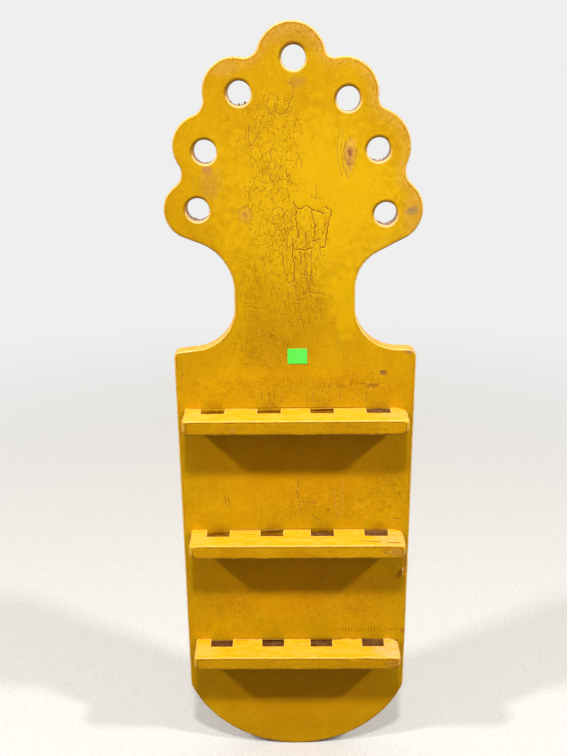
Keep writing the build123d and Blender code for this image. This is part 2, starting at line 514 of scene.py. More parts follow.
@dataclass(frozen=True)
class Slab:
    """A flat piece of wood between two faces, with worked edges, bores and marks.

    The outer wall comes first, then one for each bore.  The first face lies at start, along the
    slab's depth.  Spacing is how far apart the faces' points are; relief and rear_relief are how
    far they are sunk at each (a, b).  Extra places get points of their own on the first face,
    which also stores the marks' values on its points, by name.
    """

    name: str
    walls: tuple[Wall, ...]
    thickness: float
    lie: Lie
    start: float
    spacing: tuple[float, float]
    relief: Callable[[Array], Array]
    rear_relief: Callable[[Array], Array]
    extra: Array = field(default_factory=lambda: np.zeros((0, 2)))
    marks: dict[str, Callable[[Array], Array]] = field(default_factory=dict)

    def face_points(self, rings: list[Array], spacing: float, extra: Array) -> Array:
        """Points spread over a face: a grid of equal triangles, belts along the edge, and extra.

        Args:
            rings: the face's boundary rings, the outer one first.
            spacing: how far apart the grid's points are.
            extra: places that get points as well.

        Returns:
            An (m, 2) array, inside the face and clear of its edges and of each other.
        """
        low, high = rings[0].min(axis=0), rings[0].max(axis=0)
        lines = np.arange(low[1], high[1], spacing * math.sqrt(0.75))
        a, b = np.meshgrid(np.arange(low[0], high[0], spacing), lines)
        a = a + (np.arange(len(lines)) % 2)[:, None] * spacing / 2
        grid = np.stack([a.ravel(), b.ravel()], axis=1)
        normals = [wall.trace.normals for wall in self.walls]
        belts = [(ring - out * far)[::2] for ring, out in zip(rings, normals) for far in BELTS]
        if len(extra):
            grid = grid[distance_to_points(grid, extra) > 0.45 * spacing]
            cell = np.round(extra / 0.3).astype(int)
            extra = extra[np.unique(cell, axis=0, return_index=True)[1]]
        places = np.concatenate([grid, *belts, extra])
        away = distance_to_points(places, np.concatenate(rings))
        places = places[(away > 0.55) & inside(places, rings[0])]
        for ring in rings[1:]:
            places = places[~inside(places, ring)]
        return places

    def face_triangles(self, rings: list[Array], places: Array) -> Array:
        """Triangles over a face, as numbers into its rings' points and then its places.

        Args:
            rings: the face's boundary rings, the outer one first.
            places: the points inside the face.

        Returns:
            A (t, 3) array, anticlockwise.
        """
        sizes = [len(ring) for ring in rings]
        starts = np.cumsum([0, *sizes])
        around = [(np.arange(size), first) for first, size in zip(starts, sizes)]
        edges = [np.stack([k, (k + 1) % len(k)], axis=1) + first for k, first in around]
        points = np.concatenate([*rings, places])
        corners = [Vector(point) for point in points.tolist()]
        made = delaunay_2d_cdt(corners, np.concatenate(edges).tolist(), [], 1, 1e-6, True)
        if len(made[0]) != len(points):
            log.warning("%s: %d points became %d", self.name, len(points), len(made[0]))
        source = np.array([ids[0] if ids else 0 for ids in made[3]])
        triangles = source[np.array(made[2])]
        on_rings = np.flatnonzero((triangles < starts[-1]).all(axis=1))
        middles = points[triangles[on_rings]].mean(axis=1)
        lost = ~inside(middles, rings[0])
        for ring in rings[1:]:
            lost |= inside(middles, ring)
        return np.delete(triangles, on_rings[lost], axis=0)

    def build(self) -> bpy.types.Object:
        """The slab as one closed mesh, its faces sunk by their relief, turned into the frame.

        Returns:
            The piece.
        """
        walls = [wall.grid(self.thickness) for wall in self.walls]
        grids = [grid for grid, _ in walls]
        offsets = np.cumsum([0, *(grid.shape[0] * grid.shape[1] for grid in grids)])
        points = [grid.reshape(-1, 3) for grid in grids]
        faces: list[list[int]] = []
        for grid, offset in zip(grids, offsets):
            faces += (tube_faces(*grid.shape[:2]) + offset).tolist()
        total = offsets[-1]
        plain = np.zeros((0, 2))
        sides = ((0, self.extra, 0.0), (-1, plain, self.thickness))
        for (row, extra, depth), spacing in zip(sides, self.spacing):
            rings = [grid[:, row, :2] for grid in grids]
            places = self.face_points(rings, spacing, extra)
            triangles = self.face_triangles(rings, places)
            ids = [
                offset + np.arange(grid.shape[0]) * grid.shape[1] + row % grid.shape[1]
                for grid, offset in zip(grids, offsets)
            ]
            ids = np.concatenate([*ids, total + np.arange(len(places))])
            faces += ids[triangles if row == 0 else triangles[:, ::-1]].tolist()
            points.append(np.column_stack([places, np.full(len(places), depth)]))
            total += len(places)
        solid = np.concatenate(points)
        flat, depth = solid[:, :2], solid[:, 2]
        near_front = np.clip(1 - depth / FADE, 0, 1)
        near_rear = np.clip(1 - (self.thickness - depth) / FADE, 0, 1)
        sunk = near_front * self.relief(flat) - near_rear * self.rear_relief(flat)
        matrix = np.array(self.lie.value, dtype=float)
        placed = np.column_stack([flat, depth + sunk]) @ matrix + self.start * np.abs(matrix[2])
        values = self._edge_values(flat, [distance for _, distance in walls])
        values |= {name: mark(flat) * near_front for name, mark in self.marks.items()}
        piece = new_piece(self.name, placed, faces, values)
        piece.data.shade_smooth()
        return piece

    def _edge_values(self, flat: Array, distances: list[Array]) -> dict[str, Array]:
        """How far each point lies from an arris, and how bare its wood is.

        Args:
            flat: every point's (a, b), those of the walls first.
            distances: each wall's distances from its front arris.

        Returns:
            An (n,) array for each of the two.
        """
        count = sum(distance.size for distance in distances)
        edge, bare = np.full(len(flat), NO_EDGE), np.zeros(len(flat))
        edge[count:] = distance_to_points(flat[count:], self.walls[0].trace.points)
        first = 0
        for wall, distance in zip(self.walls, distances):
            last = first + distance.size
            upward = np.repeat(wall.trace.normals[:, 1:], distance.shape[1], axis=1)
            bare[first:last] = ((distance < -0.9) * wall.bare * (1 + upward)).ravel()
            if not wall.bare:
                edge[first:last] = distance.ravel()
            first = last
        return {"edge": edge, "bare": bare}


# ------------------------------------------------------------------------- material sheets


@dataclass(frozen=True)
class Spot:
    """A place in the frame and how far something reaches round it, along x, y and z."""

    at: Triple
    reach: Triple


def facing(x: float, z: float, half_width: float, half_height: float) -> Spot:
    """A spot on the board's front: its middle and its half sizes."""
    return Spot((x, -15.9, z), (half_width, 12.0, half_height))


def add_node(
    tree: bpy.types.NodeTree, kind: str, inputs: dict | None = None, **settings: object
) -> bpy.types.Node:
    """One node, with its settings made and its inputs set or linked.

    Args:
        tree: the tree that gets the node.
        kind: Blender's name for the node.
        inputs: a value or a socket for each input, by number or name.
        **settings: the node's own settings.

    Returns:
        The node.
    """
    node = tree.nodes.new(kind)
    for name, value in settings.items():
        setattr(node, name, value)
    for key, value in (inputs or {}).items():
        if isinstance(value, bpy.types.NodeSocket):
            tree.links.new(value, node.inputs[key])
        else:
            node.inputs[key].default_value = value
    return node


def _maths(operation: str) -> Callable[..., Field]:
    """Makes a method of Field that adds one math node.

    Args:
        operation: what the node does.

    Returns:
        The method, which takes the other numbers.
    """

    def method(self: Field, *others: Field | float) -> Field:
        """One math node on this number and the others."""
        inputs = {k: getattr(value, "socket", value) for k, value in enumerate([self, *others])}
        return self.sheet.number("ShaderNodeMath", inputs, operation=operation)

    return method


class Field:
    """A number that varies over a surface; arithmetic on it adds math nodes.

    The bar takes the larger of two numbers, size drops the sign, and wave is the sine.
    """

    __add__, __sub__, __mul__, __or__ = map(_maths, ("ADD", "SUBTRACT", "MULTIPLY", "MAXIMUM"))
    size, wave, root = map(_maths, ("ABSOLUTE", "SINE", "SQRT"))

    def __init__(self, sheet: Sheet, socket: bpy.types.NodeSocket) -> None:
        """Keeps the sheet that the number belongs to and the socket that gives it."""
        self.sheet = sheet
        self.socket = socket

    def step(self, low: float, high: float) -> Field:
        """A smooth step: 0 at low and 1 at high, the other way round if low is the larger."""
        inputs = {0: self.socket, 1: low, 2: high}
        return self.sheet.number("ShaderNodeMapRange", inputs, interpolation_type="SMOOTHSTEP")


class Sheet:
    """One material's node tree, written one node to a call, in millimetres.

    It keeps the colour, the roughness and the relief that have been laid so far.
    """

    def __init__(self, name: str) -> None:
        """Starts an empty material that reads Object coordinates.

        Args:
            name: the material's name.
        """
        self.material = bpy.data.materials.new(name)
        self.material.use_nodes = True
        self.tree = self.material.node_tree
        self.tree.nodes.clear()
        self.place = self.add("ShaderNodeTexCoord").outputs["Object"]
        self.x = self._along((0.0, 0.0, 0.0))
        self.y = self._along((0.0, 0.0, -math.pi / 2))
        self.z = self._along((0.0, math.pi / 2, 0.0))
        self.colour: Colour | bpy.types.NodeSocket = (0.5, 0.5, 0.5, 1.0)
        self.rough = self.height = self.x

    def add(self, kind: str, inputs: dict | None = None, **settings: object) -> bpy.types.Node:
        """One node of this material."""
        return add_node(self.tree, kind, inputs, **settings)

    def number(self, kind: str, inputs: dict, output: int | str = 0, **settings: object) -> Field:
        """One node of this material, as the number that one of its outputs gives."""
        return Field(self, self.add(kind, inputs, **settings).outputs[output])

    def moved(
        self, scale: Sequence[float], shift: Sequence[float] = (0.0,) * 3, turn: Sequence[float] = (0.0,) * 3
    ) -> bpy.types.NodeSocket:
        """Places in millimetres, scaled along each axis, turned and shifted.

        Every texture takes its places straight from such a node.  A node in between that gives
        another type of number would make the renderer hold all of them at once.

        Args:
            scale: the factor along x, y and z.
            shift: what is added at the end.
            turn: the rotation about x, y and z, in radians.

        Returns:
            The new places' socket.
        """
        stretch = tuple(value / MM for value in scale)
        inputs = {0: self.place, "Location": shift, "Rotation": turn, "Scale": stretch}
        return self.add("ShaderNodeMapping", inputs).outputs[0]

    def _along(self, turn: Sequence[float]) -> Field:
        """One coordinate in millimetres: a linear gradient over the SPAN, turned to lie along it."""
        places = self.moved((1 / SPAN,) * 3, (0.5, 0.0, 0.0), turn)
        return (self.number("ShaderNodeTexGradient", {0: places}, "Fac") - 0.5) * SPAN

    def value(self, name: str) -> Field:
        """The number that the mesh stores on its points under this name."""
        return self.number("ShaderNodeAttribute", {}, "Fac", attribute_name=name)

    def noise(
        self, size: Sequence[float], detail: float = 2.0, rough: float = 0.5, shift: float = 0.0
    ) -> Field:
        """Noise with blotches of the given size along x, y and z.

        Args:
            size: the blotches' size along each axis.
            detail, rough: how many finer layers it has, and how strong they are.
            shift: moves the pattern, so that two of one size differ.

        Returns:
            A number from 0 to 1, mostly near 0.5.
        """
        spread = self.moved(tuple(1 / length for length in size), (shift,) * 3)
        inputs = {"Vector": spread, "Scale": 1.0, "Detail": detail, "Roughness": rough}
        return self.number("ShaderNodeTexNoise", inputs)

    def cells(self, width: float, height: float, wander: float, shift: float) -> Field:
        """How far each place on the front lies from the nearest border of a net of cells.

        Args:
            width, height: the cells' size along x and z.
            wander: how far the borders stray, in millimetres.
            shift: moves the net.

        Returns:
            0 on a border, about 0.5 in the middle of a cell.
        """
        sway = (self.noise((width * 0.7, width, width * 1.2), 2, 0.6, shift) - 0.5) * (2 * wander)
        lift = (self.noise((width, width, width), 2, 0.6, shift + 7) - 0.5) * (3 * wander)
        across = (self.x + sway) * (1 / width) + shift
        up = (self.z + lift) * (1 / height)
        joined = self.add("ShaderNodeCombineXYZ", {0: across.socket, 1: up.socket})
        inputs = {"Vector": joined.outputs[0], "Scale": 1.0}
        kind = {"voronoi_dimensions": "2D", "feature": "DISTANCE_TO_EDGE"}
        return self.number("ShaderNodeTexVoronoi", inputs, "Distance", **kind)

    def threads(self, size: Sequence[float], line: float, shift: float) -> Field:
        """Thin wandering lines, 1 where smooth noise passes through its mean, as wide as line."""
        return (self.noise(size, 1.5, 0.5, shift) - 0.5).size().step(line, line * 0.35)

    def away(self, spot: Spot, fray: float = 0.3) -> Field:
        """How far a place lies from the middle of a spot, by a gradient that falls to 0 at 2 reaches.

        Args:
            spot: the spot.
            fray: how far its rim strays.

        Returns:
            0 in the middle, 1 on the rim and up to 2 outside.
        """
        scale = tuple(0.5 / reach for reach in spot.reach)
        shift = tuple(-0.5 * place / reach for place, reach in zip(spot.at, spot.reach))
        inputs = {0: self.moved(scale, shift)}
        near = self.number("ShaderNodeTexGradient", inputs, "Fac", gradient_type="SPHERICAL")
        spread = min(spot.reach) * 0.5 + 1.0
        fraying = (self.noise((spread,) * 3, 2) - 0.5) * (2 * fray)
        return near * -2.0 + 2.0 + fraying

    def mix(self, share: Field | float, first: object, second: object) -> bpy.types.NodeSocket:
        """A colour between two colours or colour sockets, by the share of the second."""
        weight = share.socket if isinstance(share, Field) else share
        return self.add("ShaderNodeMix", {0: weight, 6: first, 7: second}, data_type="RGBA").outputs[2]

    def lay(self, share: Field | float, colour: Colour | bpy.types.NodeSocket) -> None:
        """Lays a colour over what there is, by its share."""
        self.colour = self.mix(share, self.colour, colour)

    def close(self, gloss: float, metallic: float = 0.0) -> bpy.types.Material:
        """Ends the material in one shader.

        Args:
            gloss: the strength of the mirror part.
            metallic: 1 for bare metal.

        Returns:
            The material.
        """
        bump = {"Height": self.height.socket, "Distance": MM, "Strength": 1.0}
        inputs = {
            "Base Color": self.colour,
            "Roughness": self.rough.socket,
            "Normal": self.add("ShaderNodeBump", bump).outputs[0],
            "Specular IOR Level": gloss,
            "Metallic": metallic,
        }
        shader = self.add("ShaderNodeBsdfPrincipled", inputs)
        self.add("ShaderNodeOutputMaterial", {0: shader.outputs[0]})
        return self.material


# -------------------------------------------------------------------------------- finishes


class Grain(Enum):
    """Which way the wood's grain and the brush ran."""

    UPWARD = "z"
    SIDEWAYS = "x"

    def blotch(self, width: float, length: float) -> Triple:
        """The sizes along x, y and z of a streak of this width and length."""
        return (width, width, length) if self is Grain.UPWARD else (length, width, width)

    def crossed(self) -> Grain:
        """The other way."""
        return Grain.SIDEWAYS if self is Grain.UPWARD else Grain.UPWARD


@dataclass(frozen=True)
class Mottle:
    """A layer of noise in one colour, which fades in from low to high.

    Its share is clean on clean paint, and larger by dirty where the paint is grimy.
    """

    size: Triple
    detail: float
    rough: float
    shift: float
    low: float
    high: float
    clean: float
    dirty: float
    colour: Colour

    def lay(self, sheet: Sheet, grime: Field) -> None:
        """Lays the layer, for a grime of 1 where the paint is dirty."""
        pattern = sheet.noise(self.size, self.detail, self.rough, self.shift).step(self.low, self.high)
        sheet.lay(pattern * (grime * self.dirty + self.clean if self.dirty else self.clean), self.colour)


@dataclass(frozen=True)
class Smudge:
    """A soft patch of colour, used for stains and for painted light and shade: its place, colour and
    strength.
    """

    spot: Spot
    colour: Colour
    strength: float

    def lay(self, sheet: Sheet) -> None:
        """Lays the patch."""
        sheet.lay(sheet.away(self.spot, 0.45).step(1.0, 0.4) * self.strength, self.colour)


@dataclass(frozen=True)
class Knot:
    """A knot that shows through the paint, with a tan veil, wavy rings and a heart.

    Its depth is how strongly it shows; rings says how many, and reach how far the heart goes.
    Heart, veil and line are the three strengths, and core is the heart's colour.
    """

    spot: Spot
    depth: float = 0.8
    rings: float = 1.6
    heart: float = 0.6
    core: Colour = tone(142, 84, 62)
    reach: float = 0.5
    veil: float = 0.75
    line: float = 0.32

    def lay(self, sheet: Sheet) -> None:
        """Lays the knot and sinks its rings.

        Args:
            sheet: the material's sheet.
        """
        away = sheet.away(self.spot, 0.2)
        patch = sheet.noise((1.6, 1.6, 5.0), 3, 0.65, 13).step(0.3, 0.62)
        veil = away.step(1.0, 0.15) * patch * self.depth
        ring = (away * (self.rings * 6.2832)).wave() * away.step(1.2, 0.7) * patch
        sheet.lay(veil * self.veil, tone(206, 144, 84))
        sheet.lay(ring.step(0.1, 0.8) * (self.line * self.depth), tone(150, 92, 30))
        heart = away.step(self.reach, 0.1) * (patch * 0.5 + 0.5) * self.depth
        sheet.lay(heart * self.heart, self.core)
        sheet.height -= ring * 0.06


@dataclass(frozen=True)
class Crackle:
    """A patch of cracked paint, in cells about so wide and tall.

    Dark is how dark its upright cracks are, cross how dark the net across them is, and shift
    moves its pattern.
    """

    spot: Spot
    wide: float
    tall: float
    dark: float
    cross: float
    shift: float

    def lay(self, sheet: Sheet) -> None:
        """Lays brown lines between cells whose rims curl up a little, with a painted highlight along the
        curled rims.

        Args:
            sheet: the material's sheet.
        """
        wide, tall, shift = self.wide, self.tall, self.shift
        reach = sheet.away(self.spot, 0.4).step(1.05, 0.8)
        broken = sheet.noise((6, 6, 10), 2, 0.6, shift + 2)
        border = sheet.cells(wide * 0.9, (wide + tall) * 0.5, wide * 0.3, shift)
        net = border.step(0.085, 0.035) * broken.step(0.36, 0.48)
        thread = sheet.threads((wide * 0.75, wide, tall), 0.026, shift + 5) * broken.step(0.34, 0.46)
        line = (net * self.cross | thread * self.dark) * reach
        curl = border.step(0.24, 0.1) * reach * broken.step(0.36, 0.48)
        # painted highlight: paler yellow along the curled rims of the cells
        sheet.lay(curl * 0.3, tone(255, 206, 30))
        sheet.lay(line, tone(154, 82, 0))
        sheet.height = sheet.height + curl * 0.05 - line * 0.12


@dataclass(frozen=True)
class Border:
    """A brown line round a face that looks forward: its middle, half sizes and corner radius."""

    spot: Spot
    corner: float
    strength: float

    def line(self, sheet: Sheet) -> Field:
        """The line along a rectangle with rounded corners, near the face's plane, worn off below.

        With q = |place - middle| - (half size - corner), the rectangle's edge is where the length
        of max(q, 0) equals the corner radius.

        Args:
            sheet: the material's sheet.

        Returns:
            1 on the line, 0 off it.
        """
        (x, y, z), (wide, near, tall) = self.spot.at, self.spot.reach
        across = (sheet.x - x).size() - (wide - self.corner) | 0.0
        up = (sheet.z - z).size() - (tall - self.corner) | 0.0
        gap = ((across * across + up * up).root() - self.corner).size().step(0.75, 0.2)
        faded = (sheet.z - (z - tall)).step(0.2, 2.4)
        return gap * faded * (sheet.y - y).size().step(near, near - 1.0)


@dataclass(frozen=True)
class AgedPaint:
    """Old brushed paint over pine, worn at the edges and cracked in places.

    The paint runs from deep to light.  Its strengths are brushed for the brush marks, scratched
    for hair-thin scratches, seam for the brown line along an arris and sawn for wood that shows
    through on the sawn edge; wear is how wide the rubbed arris is.  Dirt sits in the grimy spots,
    rims are tan in the tanned ones, ticks are crossed by small upright marks, and the unpainted
    ones are bare wood, as is the face at y = 0 where back is set.
    """

    name: str
    grain: Grain
    deep: Colour
    light: Colour
    brushed: float
    scratched: float
    wear: float
    seam: float
    sawn: float
    worn: Colour
    rubbed: Colour
    smudges: tuple[Smudge, ...]
    knots: tuple[Knot, ...]
    chalky: tuple[Smudge, ...] = ()
    crackles: tuple[Crackle, ...] = ()
    borders: tuple[Border, ...] = ()
    grimy: tuple[Spot, ...] = ()
    tanned: tuple[Spot, ...] = ()
    unpainted: tuple[Spot, ...] = ()
    ticks: tuple[Spot, ...] = ()
    back: bool = False

    def material(self) -> bpy.types.Material:
        """The whole finish: paint, cracks, knots, stains, painted light and shade, worn edges and bare wood.

        Returns:
            The material.
        """
        sheet = Sheet(self.name)
        edge = sheet.value("edge")
        grime = edge * 0.0
        for spot in self.grimy:
            grime = grime | sheet.away(spot, 0.35).step(1.1, 0.4)
        self._paint(sheet, grime)
        brush = sheet.noise(self.grain.blotch(0.8, 12), 2, 0.6)
        coarse = sheet.noise(self.grain.blotch(5, 30), 2, 0.5, 3)
        sheet.height = brush * 0.11 + coarse * 0.2
        for smudge in self.smudges:
            smudge.lay(sheet)
        self._specks(sheet, grime)
        for patch in self.crackles:
            patch.lay(sheet)
        crack = sheet.value("crack")
        patchy = sheet.noise((3.5, 3.5, 3.5), 2, 0.6, 51).step(0.3, 0.62) * 0.36 + 0.6
        # painted highlight: a pale skirt beside each crack, nick and run, for their raised edges
        sheet.lay(crack.step(0.02, 0.25) * 0.3, tone(252, 200, 70))
        sheet.lay(crack.step(0.12, 0.7) * patchy, tone(128, 66, 2))
        for knot in self.knots:
            knot.lay(sheet)
        for spot in self.ticks:
            stroke = (sheet.x * (2 * math.pi / 3.2)).wave().step(0.4, 0.95)
            broken = sheet.noise((5, 5, 5), 2, 0.5, 27).step(0.28, 0.5)
            reach = sheet.away(spot, 0.1).step(1.0, 0.7)
            sheet.lay(stroke * broken * reach * 0.8, tone(128, 78, 8))
        self._worn_edges(sheet, edge)
        sheet.rough += brush * 0.12
        self._never_painted(sheet, edge)
        return sheet.close(0.09)

    def _paint(self, sheet: Sheet, grime: Field) -> None:
        """Lays the paint's own colour: broad blotches, and dirt brushed in both ways.

        Args:
            sheet: the material's sheet.
            grime: 1 where the paint is dirty.
        """
        dirt = tone(166, 108, 4)
        along, across = self.grain.blotch, self.grain.crossed().blotch
        sheet.colour = sheet.mix(sheet.noise((42, 42, 60), 3, 0.55).step(0.36, 0.64), self.deep, self.light)
        for layer in (
            Mottle(along(9, 13), 4, 0.65, 5, 0.45, 0.8, 0.2, 0.25, dirt),
            Mottle(along(1.0, 8), 3, 0.65, 11, 0.46, 0.7, self.brushed, 0.5, dirt),
            Mottle(across(1.2, 8), 3, 0.6, 15, 0.46, 0.66, 0.08, 0.4, dirt),
        ):
            layer.lay(sheet, grime)

    def _specks(self, sheet: Sheet, grime: Field) -> None:
        """Lays pale specks, chalky streaks, dull specks, dark flecks and hair-thin scratches.

        Args:
            sheet: the material's sheet.
            grime: 1 where the paint is dirty.
        """
        Mottle((2.2, 2.2, 3.0), 3, 0.65, 21, 0.5, 0.74, 0.22, 0, tone(255, 206, 60)).lay(sheet, grime)
        for patch in self.chalky:
            streaks = sheet.noise(self.grain.blotch(3.0, 14), 4, 0.65, 53).step(0.44, 0.66)
            reach = sheet.away(patch.spot, 0.3).step(1.0, 0.6)
            sheet.lay(streaks * reach * patch.strength, patch.colour)
        Mottle((1.8, 1.8, 2.2), 3, 0.6, 37, 0.5, 0.74, 0.14, 0.2, tone(158, 104, 4)).lay(sheet, grime)
        Mottle((1.5, 1.5, 2.0), 2, 0.5, 31, 0.64, 0.74, 0.2, 0.55, tone(118, 68, 8)).lay(sheet, grime)
        hair = sheet.threads((7, 7, 5), 0.016, 43) * sheet.noise((16, 16, 16), 2, 0.5, 45).step(0.54, 0.64)
        sheet.lay(hair * (grime * 0.5 + self.scratched), tone(134, 80, 8))

    def _worn_edges(self, sheet: Sheet, edge: Field) -> None:
        """Lays what long use did to the edges: tan rims, a brown line, rubbed arrises, and round the crest
        holes painted shade above and a rubbed rim with a painted highlight below.

        Args:
            sheet: the material's sheet.
            edge: the distance from the arris, minus down the wall.
        """
        fine = sheet.noise((2.0, 2.0, 2.0), 3, 0.6, 7)
        broad = sheet.noise((24, 24, 24), 2, 0.5, 9)
        far = edge.size()
        wall = (edge + 2.0).step(0.0, -1.2) * (fine * 0.5 + broad.step(0.35, 0.6) * 0.4) * self.sawn
        sheet.lay(wall, tone(250, 200, 104))
        streak = sheet.noise((5.0, 1.6, 2.4), 3, 0.6, 47)
        sheet.lay(wall * streak.step(0.48, 0.6), tone(160, 104, 46))
        for spot in self.tanned:
            tan = (far - fine * 14.0 - broad * 10.0).step(2.0, -10.0) * sheet.away(spot, 0.1).step(1.1, 0.8)
            speckled = sheet.noise((1.3, 1.3, 3.4), 3, 0.7, 35)
            sheet.lay(tan * speckled.step(0.4, 0.62) * 0.5, tone(236, 180, 96))
            sheet.lay(tan * speckled.step(0.46, 0.32) * 0.6, tone(176, 112, 18))
        seam = (edge - 1.9 - fine * 1.4).size().step(0.8, 0.15) * broad.step(0.38, 0.6)
        sheet.lay(seam * self.seam, tone(158, 92, 26))
        ragged = (fine * 0.7 + broad * 1.2 - 0.45) * self.wear
        rubbing = (ragged - far).step(-0.45, 0.35)
        sheet.lay(rubbing * 0.85, self.worn)
        bruise = sheet.noise((9, 9, 9), 2, 0.5, 33).step(0.52, 0.66)
        sheet.lay((ragged - far).step(0.1, 0.7) * bruise * 0.8, self.rubbed)
        for border in self.borders:
            line = border.line(sheet) * (fine * 0.8 + broad.step(0.3, 0.55) * 0.8)
            sheet.lay(line * border.strength, tone(146, 92, 16))
        # painted shade on the crest holes' rims, above and left of each hole
        sheet.lay((sheet.value("shade") + fine * 0.6 - 0.3).step(0.2, 0.8) * 0.8, tone(124, 82, 14))
        # rubbed rims round the crest holes, paler below each hole: wear with a painted highlight
        sheet.lay((sheet.value("rim") + fine * 0.9 - 0.45).step(0.3, 0.75) * 0.85, self.worn)
        bare = sheet.value("bare").step(0.7, 1.5)
        sheet.lay(bare, sheet.mix(fine.step(0.4, 0.62), tone(150, 110, 92), tone(216, 182, 150)))
        sheet.rough = rubbing * 0.16 + bare * 0.3 + 0.42

    def _never_painted(self, sheet: Sheet, edge: Field) -> None:
        """Lays the bare brown wood behind the shelves, and the bare back.

        Args:
            sheet: the material's sheet.
            edge: the distance from the arris.
        """
        fray = (sheet.noise((6, 6, 6), 3, 0.6, 17) - 0.5) * 3.4
        grain = sheet.noise(self.grain.blotch(1.6, 26), 3, 0.6, 19)
        mottle = sheet.noise((2.5, 2.5, 2.5), 3, 0.65, 41)
        for spot in self.unpainted:
            (x, _, z), (wide, _, tall) = spot.at, spot.reach
            within = (sheet.x - x).size().step(wide + 0.2, wide - 0.2)
            within = within * (sheet.z + fray - z).size().step(tall + 0.8, tall - 0.8)
            wood = sheet.mix(mottle.step(0.35, 0.65), tone(122, 82, 36), tone(162, 114, 62))
            sheet.lay(within, sheet.mix(grain.step(0.45, 0.7) * 0.5, wood, tone(96, 60, 24)))
            sheet.rough += within * 0.3
        if self.back:
            lap = sheet.noise((5, 5, 9), 3, 0.6, 23) * 7.0 - 2.0
            behind = (sheet.y + 0.9).step(0.0, 0.3) * (edge - lap).step(-0.4, 0.4)
            wood = sheet.mix(grain.step(0.28, 0.72), tone(148, 106, 66), tone(198, 156, 106))
            stain = sheet.noise((60, 60, 110), 3, 0.6, 29)
            sheet.lay(behind, sheet.mix(stain.step(0.45, 0.75) * 0.45, wood, tone(116, 80, 50)))
            sheet.rough += behind * 0.3
            sheet.height += behind * grain * 0.15


@dataclass(frozen=True)
class DulledSteel:
    """Steel screw heads that have gone dull, with a little rust."""

    name: str = "dulled_steel"

    def material(self) -> bpy.types.Material:
        """Finely mottled grey steel, with rust in blotches.

        Returns:
            The material.
        """
        sheet = Sheet(self.name)
        blotch = sheet.noise((1.6, 1.6, 1.6), 3, 0.6)
        fine = sheet.noise((0.35, 0.35, 0.35), 2, 0.6, 5)
        sheet.colour = sheet.mix(fine.step(0.3, 0.7), tone(118, 112, 104), tone(168, 162, 152))
        sheet.lay(blotch.step(0.5, 0.72) * 0.8, tone(116, 68, 38))
        sheet.rough = blotch * 0.4 + 0.28
        sheet.height = fine * 0.04 + blotch * 0.05
        return sheet.close(0.5, 0.85)


@dataclass(frozen=True)
class LabelPaper:
    """Thin fluorescent green label paper, slightly rubbed."""

    name: str = "label_paper"

    def material(self) -> bpy.types.Material:
        """Green paper with fibres and paler rubbed spots.

        Returns:
            The material.
        """
        sheet = Sheet(self.name)
        fibre = sheet.noise((0.25, 0.25, 0.9), 2, 0.7)
        soil = sheet.noise((5, 5, 5), 3, 0.6, 4)
        sheet.colour = sheet.mix(soil.step(0.45, 0.75) * 0.5, tone(96, 250, 84), tone(130, 236, 110))
        sheet.lay(fibre.step(0.6, 0.85) * 0.25, tone(70, 210, 66))
        sheet.rough = fibre * 0.2 + 0.5
        sheet.height = fibre * 0.02 + soil * 0.03
        return sheet.close(0.3)


# ------------------------------------------------------------- where the board is marked, in (x, z)

WIDE_CRACKS: tuple[Line, ...] = (
    ((-0.8, -129.6), (2.1, -134.5), (7.4, -135.0), (11.5, -132.6), (18.0, -136.3), (28.6, -140.0)),
    ((29.4, -133.6), (35.1, -137.6), (32.0, -149.0), (30.4, -159.7), (29.6, -168.8)),
    ((16.8, -137.5), (17.6, -144.8), (19.7, -149.7), (19.2, -162.9)),
    ((2.0, -135.3), (1.1, -144.4), (2.9, -153.5), (3.4, -162.6)),
    ((-1.7, -163.5), (-1.8, -181.1), (0.4, -188.6), (-1.0, -205.6)),
    ((0.7, -175.2), (4.8, -173.5), (10.6, -174.8), (18.0, -172.0)),
    ((17.2, -166.2), (24.2, -164.6)),
    ((24.6, -172.9), (29.6, -171.7)),
)
NARROW_CRACKS: tuple[Line, ...] = (
    ((21.2, -115.8), (20.4, -126.2), (14.4, -122.1)),
    ((10.6, -158.1), (11.1, -168.3), (11.1, -200.0), (13.9, -216.2), (20.3, -217.2), (30.7, -219.2)),
    ((16.1, -175.7), (16.1, -200.1), (16.6, -209.5), (20.3, -210.5)),
    ((24.9, -166.9), (24.5, -177.4)),
    ((-11.5, -134.3), (-8.9, -155.2), (-7.2, -162.5), (-7.8, -175.5)),
    ((-20.6, -136.5), (-21.5, -139.6), (-17.2, -155.2), (-12.7, -156.1)),
    ((-20.6, -136.1), (-14.2, -133.4), (-11.5, -135.2)),
    ((-1.5, -134.4), (-3.0, -155.3)),
    ((-11.9, -176.4), (-10.2, -186.7), (-9.4, -199.9)),
    ((6.5, -179.3), (6.4, -190.5)),
    ((5.4, -198.1), (15.7, -200.1)),
    ((-4.8, -206.5), (-0.1, -205.1)),
    ((0.8, -209.4), (1.6, -223.8), (3.5, -227.7)),
    ((-21.9, -35.0), (-25.6, -41.9), (-21.2, -49.1), (-18.7, -46.7)),
    ((-16.6, -33.5), (-17.4, -39.0), (-16.7, -46.0), (-11.8, -51.4)),
    ((-11.8, -49.2), (-6.5, -48.4), (-5.2, -41.3), (-0.3, -32.1), (-1.0, -24.4), (-3.8, -20.5)),
    ((-41.4, -58.3), (-42.0, -71.9), (-38.1, -76.6), (-33.0, -66.3)),
    ((-22.6, -82.5), (-21.0, -88.1), (-24.4, -97.8), (-20.5, -111.0)),
    ((3.1, -83.5), (6.4, -90.0), (7.3, -96.4)),
    ((-14.9, -104.5), (-14.6, -119.3)),
)
